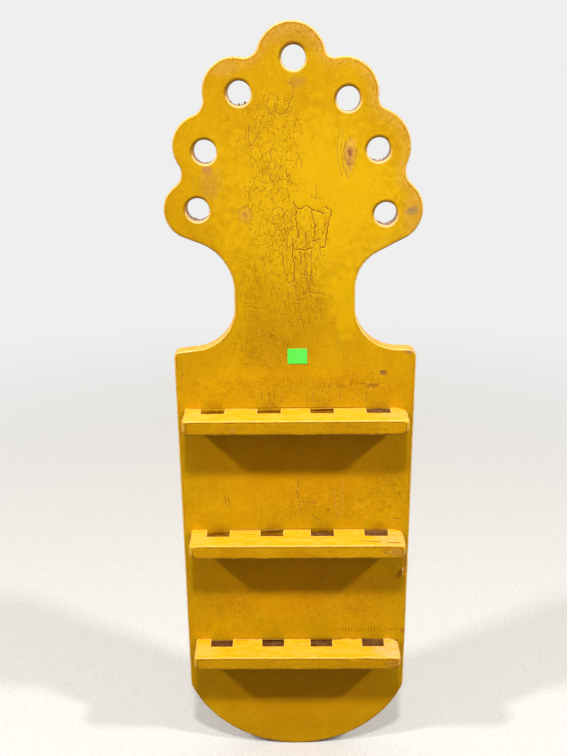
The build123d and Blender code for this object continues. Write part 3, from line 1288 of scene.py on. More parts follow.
NICKS: tuple[Line, ...] = (
    ((84.5, -297.5), (87.5, -299.8), (92.5, -298.8)),
    ((66.6, -311.0), (71.0, -312.0), (75.7, -310.5), (79.0, -312.5), (85.3, -312.0)),
    ((73.0, -316.0), (76.0, -314.5), (79.0, -317.0), (82.0, -314.0)),
    ((39.5, -311.0), (41.2, -312.2)),
    ((33.0, -316.2), (35.5, -314.8)),
    ((26.0, -320.6), (28.8, -318.6)),
    ((27.2, -329.3), (30.0, -328.6)),
    ((33.5, -329.6), (36.4, -328.9)),
    ((57.0, -326.5), (59.5, -329.0)),
    ((-114.2, -296.5), (-113.6, -303.0)),
    ((103.0, -464.6), (110.5, -465.0)),
    ((117.0, -500.0), (117.8, -512.0), (118.2, -531.0)),
    ((19.6, -242.0), (20.8, -243.6)),
    ((0.5, -431.0), (3.0, -436.0), (1.5, -441.0)),
    ((2.0, -443.0), (9.0, -445.5), (16.0, -444.0), (21.0, -446.5)),
    ((-10.5, -461.0), (-5.0, -465.0)),
    ((17.0, -460.0), (21.0, -464.5), (27.0, -466.5)),
)
STROKES = (
    (-34, -319), (-27, -321), (-21.5, -318), (-15, -322), (12, -322), (18, -321),
    (45, -318), (72, -320), (4, -446), (2, -417), (-75, -437), (-71, -440),
)
PROUD_GRAIN: tuple[Line, ...] = (
    ((-83.7, -98.5), (-83.3, -107.0), (-83.7, -121.5)),
    ((-75.8, -99.0), (-76.2, -110.0), (-75.0, -122.0)),
    ((-81.2, -102.0), (-80.8, -111.0)),
    ((-68.5, -95.5), (-68.0, -106.0), (-68.8, -117.0)),
    ((-71.4, -97.0), (-71.0, -106.0)),
    ((-95.2, -103.0), (-94.8, -115.0)),
    ((-88.4, -104.0), (-88.8, -117.0)),
    ((42.6, -62.0), (39.8, -76.0), (40.6, -92.0), (44.6, -106.0)),
    ((45.8, -64.0), (43.4, -80.0), (46.0, -97.0), (50.6, -108.0)),
)
OUTER_RUN: Line = ((48.3, -418.8), (48.8, -442.2), (48.3, -457.6), (45.4, -461.2), (42.5, -454.0))
INNER_RUN: Line = ((41.7, -428.1), (42.0, -449.3))
SWELLINGS = (
    Blister(41.0, -4.8, 2.4, 2.2, 0.35),
    Blister(56.0, -5.8, 2.6, 2.2, 0.4, 0.9),
    Blister(52.0, -82.0, 7.0, 14.0, -0.25),
    Blister(-46.8, -140.5, 7.0, 9.0, -0.22, 1.5),
    Blister(76.0, -313.0, 8.0, 3.0, -0.35, 0.9),
    Blister(87.4, -299.2, 4.0, 2.0, -0.35, 0.6),
)
KNOTS = (
    Knot(facing(51.6, -92.0, 6.0, 15.0), 0.9, 1.3, 0.5),
    Knot(facing(52.0, -83.6, 8.6, 16.0), 1.1, 1.9, 0.8, reach=0.42, line=0.5),
    Knot(facing(53.0, -75.2, 5.8, 5.0), 1.0, 1.2, 1.0, tone(244, 190, 70), 1.1, 0.0),
    Knot(facing(-46.8, -140.5, 9.0, 11.0), 0.6, 1.8, 0.3, line=0.5),
)
# Each patch's middle and half sizes, then the cells, darkness, cross and shift of its cracks.
CRACKED = (
    (-20, -72, 31, 46, 4.2, 12, 0.55, 0.6, 0),
    (-22, -130, 28, 48, 3.7, 16, 0.6, 0.6, 8),
    (16, -166, 18, 40, 6.4, 30, 0.6, 0.35, 4),
    (-4, -190, 28, 46, 4.2, 24, 0.65, 0.5, 12),
    (6, -232, 26, 24, 4.6, 11, 0.5, 0.7, 16),
    (-24, -282, 22, 11, 3.6, 7, 0.2, 0.5, 20),
    (44, -274, 9, 12, 3.4, 6, 0.2, 0.5, 22),
    (42, -556, 16, 30, 3.2, 7, 0.2, 0.4, 24),
)
# Each stain's middle and half sizes, its display colour and its strength.
STAINED = (
    (20, -125, 120, 105, 246, 192, 10, 0.62),
    (-6, -262, 52, 40, 196, 140, 4, 0.5),
    (54, -228, 26, 46, 242, 190, 3, 0.55),
    (3, -21, 11, 7, 172, 116, 60, 0.4),
    (-62, -8, 18, 10, 226, 170, 92, 0.22),
    (2, 20, 40, 18, 206, 146, 40, 0.5),
    (112, -140, 13, 24, 226, 160, 70, 0.35),
    (109.8, -139, 6.4, 4.4, 160, 130, 84, 0.6),
    (113.2, -136.8, 6.4, 4.4, 146, 122, 86, 0.6),
    (-81.5, -98.6, 7, 5, 200, 132, 84, 0.75),
    (-79.5, -112, 12, 18, 204, 146, 50, 0.5),
    (0, -715, 130, 60, 214, 140, 2, 0.35),
    (79, -312.8, 9, 2.6, 160, 106, 26, 0.75),
    (88.6, -299.6, 4.6, 3.2, 138, 84, 56, 0.85),
    (115, -277, 9, 4, 176, 112, 70, 0.7),
    (107, -464.8, 6, 1, 176, 100, 50, 0.7),
    (118.6, -516, 1.1, 18, 160, 98, 34, 0.7),
    (119, -606, 5, 7, 176, 106, 40, 0.6),
)
# The middle and half sizes of the places where dirt sits in the brush marks.
GRIMY = (
    (0, -318, 118, 18),
    (70, -318, 40, 26),
    (-30, -268, 42, 34),
    (-42, -210, 14, 60),
    (8, 18, 34, 16),
    (24, -446, 56, 34),
    (96, -430, 30, 34),
    (-70, -566, 40, 26),
    (50, -560, 60, 36),
)


# ---------------------------------------------------------------------------- sub-assemblies

NOTCHES = (-84.3, -27.1, 27.1, 84.3)  # the notches' middles, from a shelf's middle


@dataclass(frozen=True)
class Scallop:
    """One round of the crest: its hole's middle, and the arc sawn round it."""

    hole_x: float
    hole_z: float
    arc_x: float
    arc_z: float
    arc_radius: float


@dataclass(frozen=True)
class Flank:
    """One side of the board, 1 for the right and -1 for the left, from the top down.

    It has three scallops, the radii of the hollows above each, the neck's upper cove with the
    straight cut into it, and the shoulder, which falls away to its worn corner.
    """

    side: int
    scallops: tuple[Scallop, ...]
    valleys: tuple[float, ...]
    cove: float
    straight: float
    fall: float
    corner: float


@dataclass(frozen=True)
class BackBoard:
    """The scalloped, pierced back board; drops are counted from the hanging hole down."""

    thickness: float = 15.9
    width: float = 243.2
    ease: float = 2.2
    shoulder_drop: float = 274.8
    neck_width: float = 118.8
    lower_cove: float = 44.2
    foot_drop: float = 630.4  # to the middle of the round foot
    foot_bow: float = 9.0  # the foot's radius less half the width
    foot_corner: float = 18.0
    hole_radius: float = 11.1
    hole_break: float = 1.2  # how far a hole's front rim is opened
    top: Scallop = Scallop(0.0, 0.0, -2.2, -0.5, 31.9)
    right: Flank = Flank(
        1,
        (
            Scallop(50.2, -36.1, 46.1, -31.2, 32.1),
            Scallop(79.0, -81.3, 73.0, -78.8, 36.0),
            Scallop(87.1, -140.6, 91.9, -136.7, 30.6),
        ),
        (8.0, 10.5, 18.0),
        cove=40.0,
        straight=28.0,
        fall=0.4,
        corner=8.0,
    )
    left: Flank = Flank(
        -1,
        (
            Scallop(-50.0, -30.5, -53.8, -28.7, 30.1),
            Scallop(-83.2, -82.1, -84.0, -77.3, 29.3),
            Scallop(-91.7, -135.6, -96.5, -135.9, 27.8),
        ),
        (13.0, 15.0, 14.0),
        cove=50.0,
        straight=16.6,
        fall=1.8,
        corner=6.0,
    )

    def _round(self, x: float, z: float, radius: float, bend: Bend) -> Round:
        """One round of the outline, with the board's own easing."""
        return Round(float(x), float(z), radius, bend, self.ease)

    def _bulge(self, scallop: Scallop) -> Round:
        """The bulging round of one scallop."""
        return self._round(scallop.arc_x, scallop.arc_z, scallop.arc_radius, Bend.OUT)

    def _hollow(self, first: Scallop, second: Scallop, radius: float) -> Round:
        """The hollow round that touches two scallops, on the left of the way between them.

        Args:
            first, second: the scallops, clockwise.
            radius: the hollow's radius.

        Returns:
            The round, whose middle is one radius off both arcs.
        """
        start = np.array([first.arc_x, first.arc_z])
        way = np.array([second.arc_x, second.arc_z]) - start
        apart = np.linalg.norm(way)
        near, far = first.arc_radius + radius, second.arc_radius + radius
        along = (apart**2 + near**2 - far**2) / (2 * apart)
        aside = math.sqrt(near**2 - along**2)
        x, z = start + (way * along + np.array([-way[1], way[0]]) * aside) / apart
        return self._round(x, z, radius, Bend.IN)

    def _flank_rounds(self, flank: Flank) -> list[Round]:
        """One side's rounds from below the top scallop down to the foot's corner.

        Args:
            flank: the side.

        Returns:
            The rounds, from the top down.
        """
        rounds, above = [], self.top
        for scallop, radius in zip(flank.scallops, flank.valleys):
            pair = (above, scallop) if flank.side > 0 else (scallop, above)
            rounds += [self._hollow(*pair, radius), self._bulge(scallop)]
            above = scallop
        neck, half, corner = self.neck_width / 2, self.width / 2, flank.corner
        x = flank.side * (neck + flank.cove)
        reach = (above.arc_radius + flank.cove) ** 2 + flank.straight**2
        z = above.arc_z - math.sqrt(reach - (x - above.arc_x) ** 2)
        inner, foot = half - self.foot_corner, half + self.foot_bow
        drop = self.foot_drop + math.sqrt((foot - self.foot_corner) ** 2 - inner**2)
        cove = self.lower_cove
        shoulder = -self.shoulder_drop - flank.fall - corner
        return rounds + [
            self._round(x, z, flank.cove, Bend.IN),
            self._round(flank.side * (neck + cove), cove - self.shoulder_drop, cove, Bend.IN),
            self._round(flank.side * (half - corner), shoulder, corner, Bend.OUT),
            self._round(flank.side * inner, -drop, self.foot_corner, Bend.OUT),
        ]

    def outline(self) -> Outline:
        """The board's whole outline, clockwise as seen from the front.

        Returns:
            The outline.
        """
        foot = self._round(0.0, -self.foot_drop, self.width / 2 + self.foot_bow, Bend.OUT)
        right, left = self._flank_rounds(self.right), self._flank_rounds(self.left)
        return Outline((self._bulge(self.top), *right, foot, *left[::-1]))

    def holes(self) -> tuple[Scallop, ...]:
        """All seven scallops with their holes."""
        return (self.top, *self.right.scallops, *self.left.scallops)

    def furrows(self) -> tuple[Furrow, ...]:
        """The cracks, nicks, scratches, proud grain and runs of paint, each group with its sizes.

        Returns:
            The furrows, in the order in which they are cut.
        """
        strokes = tuple(((x, z), (x + 0.5, z - 10.0)) for x, z in STROKES)
        groups = (
            (WIDE_CRACKS, 0.44, 0.34, 0.38, 40, 1.0),
            (NARROW_CRACKS, 0.38, 0.2, 0.38, 90, 0.7),
            (NICKS + strokes, 0.44, 0.12, 0.4, 200, 0.8),
            (PROUD_GRAIN, 0.5, 0.12, 0.22, 300, 0.52),
            ((OUTER_RUN,), 0.8, -0.28, 0.2, 9, 0.5),
            ((INNER_RUN,), 0.7, -0.22, 0.2, 12, 0.42),
        )
        return tuple(
            Furrow(line, width, depth, jag, seed + 3 * number, dark)
            for lines, width, depth, jag, seed, dark in groups
            for number, line in enumerate(lines)
        )

    def relief(self, flat: Array) -> Array:
        """How far the front is sunk: hand-planed waves, plus each mark's depth.

        Args:
            flat: an (n, 2) array of (x, z).

        Returns:
            An (n,) array of depths.
        """
        sunk = 0.06 + 0.03 * Ripple(3, 18, 70).at(flat) + 0.015 * Ripple(4, 5, 14).at(flat)
        for line in self.furrows():
            sunk += line.depth * line.strength(flat)
        for swelling in SWELLINGS:
            sunk -= swelling.height(flat)
        return sunk

    def crack_tone(self, flat: Array) -> Array:
        """How dark the cracks are at each place: the strongest crack there."""
        return np.max([line.dark * line.strength(flat) for line in self.furrows()], axis=0)

    def ring_tone(self, flat: Array, side: Triple, width: float, swell: float) -> Array:
        """A ring round each crest hole that is strongest on one side: (1.1 - gap / width) * share.

        The share grows along the side's direction (x, z) from its value beside the hole.

        Args:
            flat: an (n, 2) array of (x, z).
            side: x, z and that value.
            width, swell: the ring's width, and how far it grows with the share.

        Returns:
            An (n,) array from 0 to 1.
        """
        rings = []
        for scallop in self.holes():
            way = flat - np.array([scallop.hole_x, scallop.hole_z])
            far = np.linalg.norm(way, axis=1)
            lean = (side[0] * way[:, 0] + side[1] * way[:, 1]) / np.maximum(far, SMALL)
            share = np.clip(lean + side[2], 0, 1)
            gap = np.maximum(far - self.hole_radius - self.hole_break, 0)
            rings.append(np.clip(1.1 - gap / (width + swell * share), 0, 1) * share)
        return np.max(rings, axis=0)

    def worn_and_lit_rim_tone(self, flat: Array) -> Array:
        """How rubbed the holes' rims are, with a painted highlight: most below each hole, where the rim faces
        up to the light.
        """
        return self.ring_tone(flat, (0.0, -0.5, 0.5), 0.4, 0.8)

    def shade_tone(self, flat: Array) -> Array:
        """Painted shade on the holes' rims: most above and left of each hole, where the rounded rim faces
        away from the light.
        """
        return self.ring_tone(flat, (-0.5, 0.86, 0.3), 2.4, 0.0)

    def build(self, screws: Sequence[tuple[float, float]]) -> bpy.types.Object:
        """The board's mesh.

        Args:
            screws: the x and z of each screw that passes through it.

        Returns:
            The board.
        """
        trace = self.outline().trace().worn(Ripple(11, 9, 45), 0.13, 0.7)
        marks = Ripple(12, 4, 16)  # of the saw and the spokeshave, on the edge
        edge = Wall(trace, Lip(1, 1, 7), Lip(0.36, 0.36, 3), 6, push=lambda at: np.abs(0.07 * marks.at(at)))
        crest = [self._crest_wall(scallop, number) for number, scallop in enumerate(self.holes())]
        sunk, flare = Lip(0.05, 0.05, 2), Lip(2.28, 2.9, 3, flared=True)
        driven = [Wall(bored(x, z, 1.8, 28), sunk, flare, 1, 1.0) for x, z in screws]
        return Slab(
            name="back_board_painted",
            walls=(edge, *crest, *driven),
            thickness=self.thickness,
            lie=Lie.UPRIGHT,
            start=-self.thickness,
            spacing=(2.3, 4.6),
            relief=self.relief,
            rear_relief=lambda flat: 0.12 + 0.05 * Ripple(5, 20, 90).at(flat),
            extra=np.concatenate([mark.seeds() for mark in (*self.furrows(), *SWELLINGS)]),
            marks={"crack": self.crack_tone, "rim": self.worn_and_lit_rim_tone, "shade": self.shade_tone},
        ).build()

    def _crest_wall(self, scallop: Scallop, number: int) -> Wall:
        """A crest hole's wall, with splinters left by the bit at the bottom of its far rim.

        Args:
            scallop, number: the hole's scallop, and which hole it is.

        Returns:
            The wall.
        """
        torn = (0.15, 0.15, 0.9, 0.8, 1.3, 0.4, 0.4)[number]  # how long the splinters are

        def splinter(places: Array) -> Array:
            """Spikes at the far rim, where the hole's bottom tore; less towards the front.

            Args:
                places: an (n, 3) array of (x, z, depth).

            Returns:
                An (n,) array of extra insets.
            """
            low = np.clip((scallop.hole_z - places[:, 1]) / self.hole_radius - 0.55, 0, 1) / 0.45
            far = np.clip((places[:, 2] - 0.45 * self.thickness) / (0.55 * self.thickness), 0, 1)
            return -torn * low * far**2 * np.clip(Ripple(60 + number, 1.3, 3.2).at(places), 0, 3)

        rim = bored(scallop.hole_x, scallop.hole_z, self.hole_radius, 96)
        mouth = Lip(self.hole_break, self.hole_break, 5)
        return Wall(rim, mouth, Lip(0.15, 0.15, 2), 7, 1.0, splinter)

    def bare_places(self) -> Iterator[Spot]:
        """The wood that was never painted: behind each shelf, and higher up behind some notches.

        Returns:
            A spot for each place, one after another.
        """
        laps = ((5.4, 5.0, 1.0), (7.4, 3.6, 0.6), (1.6, 1.6, 0.4))
        for node, lap in zip(("top_shelf", "middle_shelf", "bottom_shelf"), laps):
            (left, _, low), (right, _, high) = node_span(node)
            middle = (left + right) / 2
            spans = ((middle, (right - left) / 2 - 0.8), (middle + 27.1, 13.0), (middle + 84.3, 13.0))
            for (x, half), short in zip(spans, lap):
                top, bottom = high - short, low + 0.8
                yield Spot((x, 0.0, (top + bottom) / 2), (half, 1.0, (top - bottom) / 2))

    def stains_and_painted_light(self) -> Iterator[tuple[float, ...]]:
        """Rows of stains and painted light: those by place, then round each shelf painted shade, a warmer
        painted shadow below it, a dark line along the joint, the spoons' rubbing above the notches and
        painted shade inside them.

        Returns:
            The rows, one after another.
        """
        yield from STAINED
        for node, painted_shade_share, greasy in (
            ("top_shelf", 0.75, 0.35),
            ("middle_shelf", 0.8, 0.35),
            ("bottom_shelf", 0.9, 0.1),
        ):
            (left, _, _), (right, _, top) = node_span(node)
            middle, half = (left + right) / 2, (right - left) / 2
            # painted shade: the board darker round the shelf, from its shadow up to above its top
            yield middle + 10, top - 6, 1.3 * half, 38, 188, 147, 2, painted_shade_share
            # painted light: a warmer orange in the shelf's shadow, for light thrown back by the yellow wood
            yield middle, top - 68, 1.2 * half, 52, 222, 151, 1, 0.6
            # more painted shade just above the shelf, where its top throws light back onto the board
            yield middle, top + 10, 1.3 * half, 24, 196, 150, 4, 0.5
            yield middle, top + 0.4, half - 4, 0.9, 128, 78, 10, 0.6
            for place in NOTCHES:
                yield middle + place + 2, top + 3, 10, 7, 176, 114, 8, greasy
                # painted shade inside each notch
                yield middle + place, top - 7, 14, 7.5, 148, 90, 8, 0.75

    def finish(self) -> AgedPaint:
        """The board's paint: yellower on the crest, cracked down the middle, dirty lower down, with painted
        shade round the shelves.

        Returns:
            The finish.
        """
        return AgedPaint(
            name="board_paint",
            grain=Grain.UPWARD,
            deep=tone(213, 156, 2),
            light=tone(223, 168, 2),
            brushed=0.2,
            scratched=0.35,
            wear=1.6,
            seam=0.5,
            sawn=0.75,
            worn=tone(255, 214, 136),
            rubbed=tone(222, 150, 96),
            smudges=tuple(Smudge(facing(*row[:4]), tone(*row[4:7]), row[7]) for row in self.stains_and_painted_light()),
            knots=KNOTS,
            crackles=tuple(Crackle(facing(*row[:4]), *row[4:]) for row in CRACKED),
            grimy=tuple(facing(*row) for row in GRIMY),
            tanned=(facing(45.0, -60.0, 112.0, 118.0),),
            unpainted=tuple(self.bare_places()),
            ticks=(facing(80.0, -603.6, 48.0, 3.2),),
            back=True,
        )


@dataclass(frozen=True)
class Shelf:
    """One notched shelf, by the frame node that it stands for and the seed of its unevenness.

    Corners are seen from above; end_round is the ends' corners seen from the front, front_round
    the long front edges, and arris what is left of a round on the notches' sawn edges.
    """

    node: str
    seed: int
    front_corner: float = 4.5
    left_back_corner: float = 3.0
    right_back_corner: float = 6.0
    end_round: float = 5.4
    front_round: float = 1.9
    notch_width: float = 24.2
    notch_depth: float = 13.9
    arris: float = 0.4

    def outline(self) -> Outline:
        """The shelf seen from above, clockwise from its left back corner.

        Returns:
            The outline.
        """
        (left, front, _), (right, back, _) = node_span(self.node)
        draw = np.random.default_rng(self.seed)
        small, end = self.arris, self.end_round
        corner = self.left_back_corner
        rounds = [Round(left + corner, back - corner, corner, Bend.OUT, small)]
        for place in NOTCHES:
            shift = draw.uniform(-0.4, 0.4, size=4)
            middle = (left + right) / 2 + place
            first = middle - self.notch_width / 2 + shift[0]
            last = middle + self.notch_width / 2 + shift[1]
            floor = back - self.notch_depth
            rounds += [
                Round(first - small, back - small, small, Bend.OUT, small),
                Round(first + small, floor + shift[2] + small, small, Bend.IN, small),
                Round(last - small, floor + shift[3] + small, small, Bend.IN, small),
                Round(last + small, back - small, small, Bend.OUT, small),
            ]
        corner = self.right_back_corner
        rounds.append(Round(right - corner, back - corner, corner, Bend.OUT, end))
        corner = self.front_corner
        rounds.append(Round(right - corner, front + corner, corner, Bend.OUT, end, self.front_round))
        rounds.append(Round(left + corner, front + corner, corner, Bend.OUT, end))
        return Outline(tuple(rounds), step=1.1, blur=3.0)

    def build(self) -> bpy.types.Object:
        """The shelf's mesh, cut by hand: no edge is quite straight and no face quite flat.

        Returns:
            The shelf.
        """
        (_, _, low), (_, _, high) = node_span(self.node)
        ripples = ((6, 40), (5, 40), (2.5, 9), (8, 60), (12, 60))
        ease, edge, nick, top, under = (Ripple(self.seed + 1 + k, *span) for k, span in enumerate(ripples))

        def worked(places: Array) -> Array:
            """The edge's own unevenness, with small nicks along its arrises."""
            near = np.exp(-np.minimum(places[:, 2], high - low - places[:, 2]) / 1.6)
            return np.abs(0.09 * edge.at(places)) + 0.5 * np.clip(nick.at(places) - 1.5, 0, 1) * near

        trace = self.outline().trace().worn(ease, 0.22, 0.6)
        return Slab(
            name=f"{self.node}_painted",
            walls=(Wall(trace, Lip(0.85, 0.85, 6), Lip(1.15, 1.15, 6), 6, push=worked),),
            thickness=high - low,
            lie=Lie.LEVEL,
            start=high,
            spacing=(1.9, 3.0),
            relief=lambda flat: 0.12 + 0.05 * top.at(flat),
            rear_relief=lambda flat: 0.12 + 0.05 * under.at(flat),
        ).build()

    def finish(self) -> AgedPaint:
        """The shelf's paint, lighter on top than in front, partly as painted light from above, with painted
        highlights on its end corners, and rubbed along its front edge.

        Returns:
            The finish.
        """
        (left, front, low), (right, _, high) = node_span(self.node)
        middle, level, tall = (left + right) / 2, (low + high) / 2, (high - low) / 2
        small = Knot(Spot((-62.0, front, level - 3.0), (3.2, 9.0, 3.6)), 0.7, 1.2, 0.4)
        ringed = Knot(Spot((right - 12.0, front, level), (16, 9, 6)), 1.0, 2.0, 0.0, veil=0.4, line=0.65)
        banded = Knot(Spot((right - 8.0, front, level), (15, 9, 7)), 1.0, 2.0, 0.0, veil=0.25, line=0.75)
        end, wear, knot, deep, light = {
            "top_shelf": (0.3, 1.5, small, (210, 147, 2), (222, 161, 4)),
            "middle_shelf": (0.55, 1.5, ringed, (218, 154, 2), (230, 168, 4)),
            "bottom_shelf": (0.75, 1.0, banded, (210, 147, 2), (222, 161, 4)),
        }[self.node]

        def upon(x: float, ahead: float, *reach: float) -> Spot:
            """A spot on the shelf's top, so far behind its front edge."""
            return Spot((x, front + ahead, high), reach)

        border = Spot((middle, front, level - 0.4), ((right - left) / 2 - 4.2, 2.6, 6.1))
        # painted highlight on the rounded corners at both ends of the front
        lit_end_corners = (Spot((x, front + 1.5, level), (3.0, 4.5, tall)) for x in (left + 1.6, right - 1.6))
        return AgedPaint(
            name=f"{self.node}_paint",
            grain=Grain.SIDEWAYS,
            deep=tone(*deep),
            light=tone(*light),
            brushed=0.4,
            scratched=0.1,
            wear=wear,
            seam=0.0,
            sawn=0.0,
            worn=tone(248, 200, 104),
            rubbed=tone(216, 148, 66),
            smudges=(
                # a lighter, yellower top: partly cleaner paint, partly painted light from above
                Smudge(upon(middle, 20, 500, 120, 3), tone(238, 176, 12), 0.8),
                Smudge(upon(right - 12, 12, 26, 18, 4), tone(238, 174, 84), end),
                Smudge(upon(left + 10, 14, 16, 14, 4), tone(242, 184, 80), 0.5),
                Smudge(upon(middle + 18, 12, 60, 6, 3), tone(244, 188, 60), 0.4),
                *(Smudge(spot, tone(246, 198, 84), 0.5) for spot in lit_end_corners),
            ),
            knots=(knot,),
            chalky=(
                Smudge(upon(middle, 20, 500, 120, 3), tone(250, 206, 104), 0.36),
                Smudge(upon(right - 8, 20, 24, 26, 4), tone(226, 190, 140), end),
            ),
            borders=(Border(border, 4.0, 0.7),),
        )


@dataclass(frozen=True)
class ShelfScrews:
    """The screws, kept as the frame has them, in a metal finish."""

    node: str = "shelf_screws"

    def places(self) -> list[tuple[float, float]]:
        """The x and z of each screw, from the frame's own mesh: the middles of its groups of points.

        Returns:
            An (x, z) for each screw.
        """
        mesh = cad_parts[self.node].data
        points = np.empty(len(mesh.vertices) * 3, dtype=np.float32)
        mesh.vertices.foreach_get("co", points)
        flat = points.reshape(-1, 3)[:, [0, 2]] / MM
        groups = np.unique(np.round(flat / 20.0).astype(int), axis=0, return_inverse=True)[1].ravel()
        parts = [flat[groups == group] for group in range(groups.max() + 1)]
        return [tuple(((part.min(axis=0) + part.max(axis=0)) / 2).tolist()) for part in parts]

    def dress(self, finish: DulledSteel) -> bpy.types.Object:
        """Puts the finish on the frame's own node.

        Args:
            finish: the screws' finish.

        Returns:
            The node's object.
        """
        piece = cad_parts[self.node]
        piece.data.materials.clear()
        piece.data.materials.append(finish.material())
        return piece


@dataclass(frozen=True)
class PriceSticker:
    """A blank price sticker that lifts a little at one corner."""

    node: str = "price_sticker"
    corner: float = 0.8
    lift: float = 0.5

    def build(self) -> bpy.types.Object:
        """The sticker's mesh: a thin slab whose lower right corner curls off the board.

        Returns:
            The sticker.
        """
        (left, near, low), (right, far, high) = node_span(self.node)
        r = self.corner
        middles = ((left + r, high - r), (right - r, high - r), (right - r, low + r), (left + r, low + r))
        rounds = tuple(Round(x, z, r, Bend.OUT, 0.05) for x, z in middles)

        def curl(flat: Array) -> Array:
            """A corner that lifts with the cube of its nearness, over faint cockling."""
            reach = np.clip(1 - np.linalg.norm(flat - np.array([right, low]), axis=1) / 9.0, 0, 1)
            return -self.lift * reach**3 - 0.05 - 0.03 * Ripple(21, 4, 12).at(flat)

        trace = Outline(rounds, step=0.5, blur=0.5).trace()
        return Slab(
            name="price_sticker_blank",
            walls=(Wall(trace, Lip(1, 1, 2), Lip(1, 1, 2), 1),),
            thickness=far - near,
            lie=Lie.UPRIGHT,
            start=near,
            spacing=(0.8, 0.8),
            relief=curl,
            rear_relief=lambda flat: np.zeros(len(flat)),
        ).build()


@dataclass(frozen=True)
class LiftedChip:
    """A curl of wood that has lifted off the board's right edge, by its place and its sizes."""

    x: float = 117.0
    z: float = -528.5
    tall: float = 7.4
    bulge: float = 2.6
    out: float = 3.4
    wall: float = 0.9

    def build(self, front: float) -> bpy.types.Object:
        """The chip: a half pipe, bulging to the left, that tapers to a ragged tip.

        For u from 0 to 1 round the curl and v from 0 to 1 outwards, the middle surface is
        x = X - bulge sin(pi u), z = Z + tall / 2 cos(pi u) (1 - v / 3), y = front - out v.

        Args:
            front: the y of the board's front.

        Returns:
            The chip.
        """
        u, v = np.meshgrid(np.linspace(0, 1, 25), np.linspace(-0.12, 1, 11), indexing="ij")
        ragged = 1 + 0.12 * Ripple(31, 0.2, 0.7).at(np.stack([u.ravel(), v.ravel()], axis=1)).reshape(u.shape)
        lean = 1 - np.clip(v, 0, 1) / 3
        y = front - self.out * v * np.where(v > 0.8, ragged, 1)
        skins = []
        for side in (0.5, -0.5):
            grow = side * self.wall * (1 - 0.6 * np.clip(v, 0, 1))
            x = self.x - (self.bulge * lean + grow) * np.sin(math.pi * u)
            z = self.z + (self.tall / 2 * lean + grow) * np.cos(math.pi * u)
            skins.append(np.stack([x, y, z], axis=-1))
        rows, columns = u.shape
        count = 2 * columns
        ring = np.concatenate([skins[0], skins[1][:, ::-1]], axis=1).swapaxes(0, 1)
        strip = np.arange(columns - 1)
        cap = np.stack([strip, count - 1 - strip, count - 2 - strip, strip + 1], axis=1) * rows
        faces = np.concatenate([tube_faces(count, rows), cap, (cap + rows - 1)[:, ::-1]])
        values = {"edge": np.full(rows * count, 0.2)}
        return new_piece("lifted_chip", ring.reshape(-1, 3), faces.tolist(), values)


# ----------------------------------------------------------------------------------- studio


def hold(name: str, data: bpy.types.ID, place: Triple, turn: Sequence[float]) -> bpy.types.Object:
    """Puts a lamp or a camera into the scene.

    Args:
        name: the object's name.
        data: the lamp or the camera.
        place, turn: its place in metres and its rotation in radians.

    Returns:
        The object.
    """
    holder = bpy.data.objects.new(name, data)
    holder.location, holder.rotation_euler = place, turn
    bpy.context.scene.collection.objects.link(holder)
    return holder


@dataclass(frozen=True)
class Lamp:
    """A round lamp: its place, its power, what it is aimed at and its size, in metres and watts."""

    name: str
    place: Triple
    power: float
    aim: Triple = (0.0, 0.0, -0.38)
    across: float = 0.22

    def build(self) -> None:
        """Hangs the lamp."""
        light = bpy.data.lights.new(self.name, "AREA")
        light.shape = "DISK"
        light.size, light.energy = self.across, self.power
        way = Vector(self.aim) - Vector(self.place)
        hold(self.name, light, self.place, way.to_track_quat("-Z", "Y").to_euler())


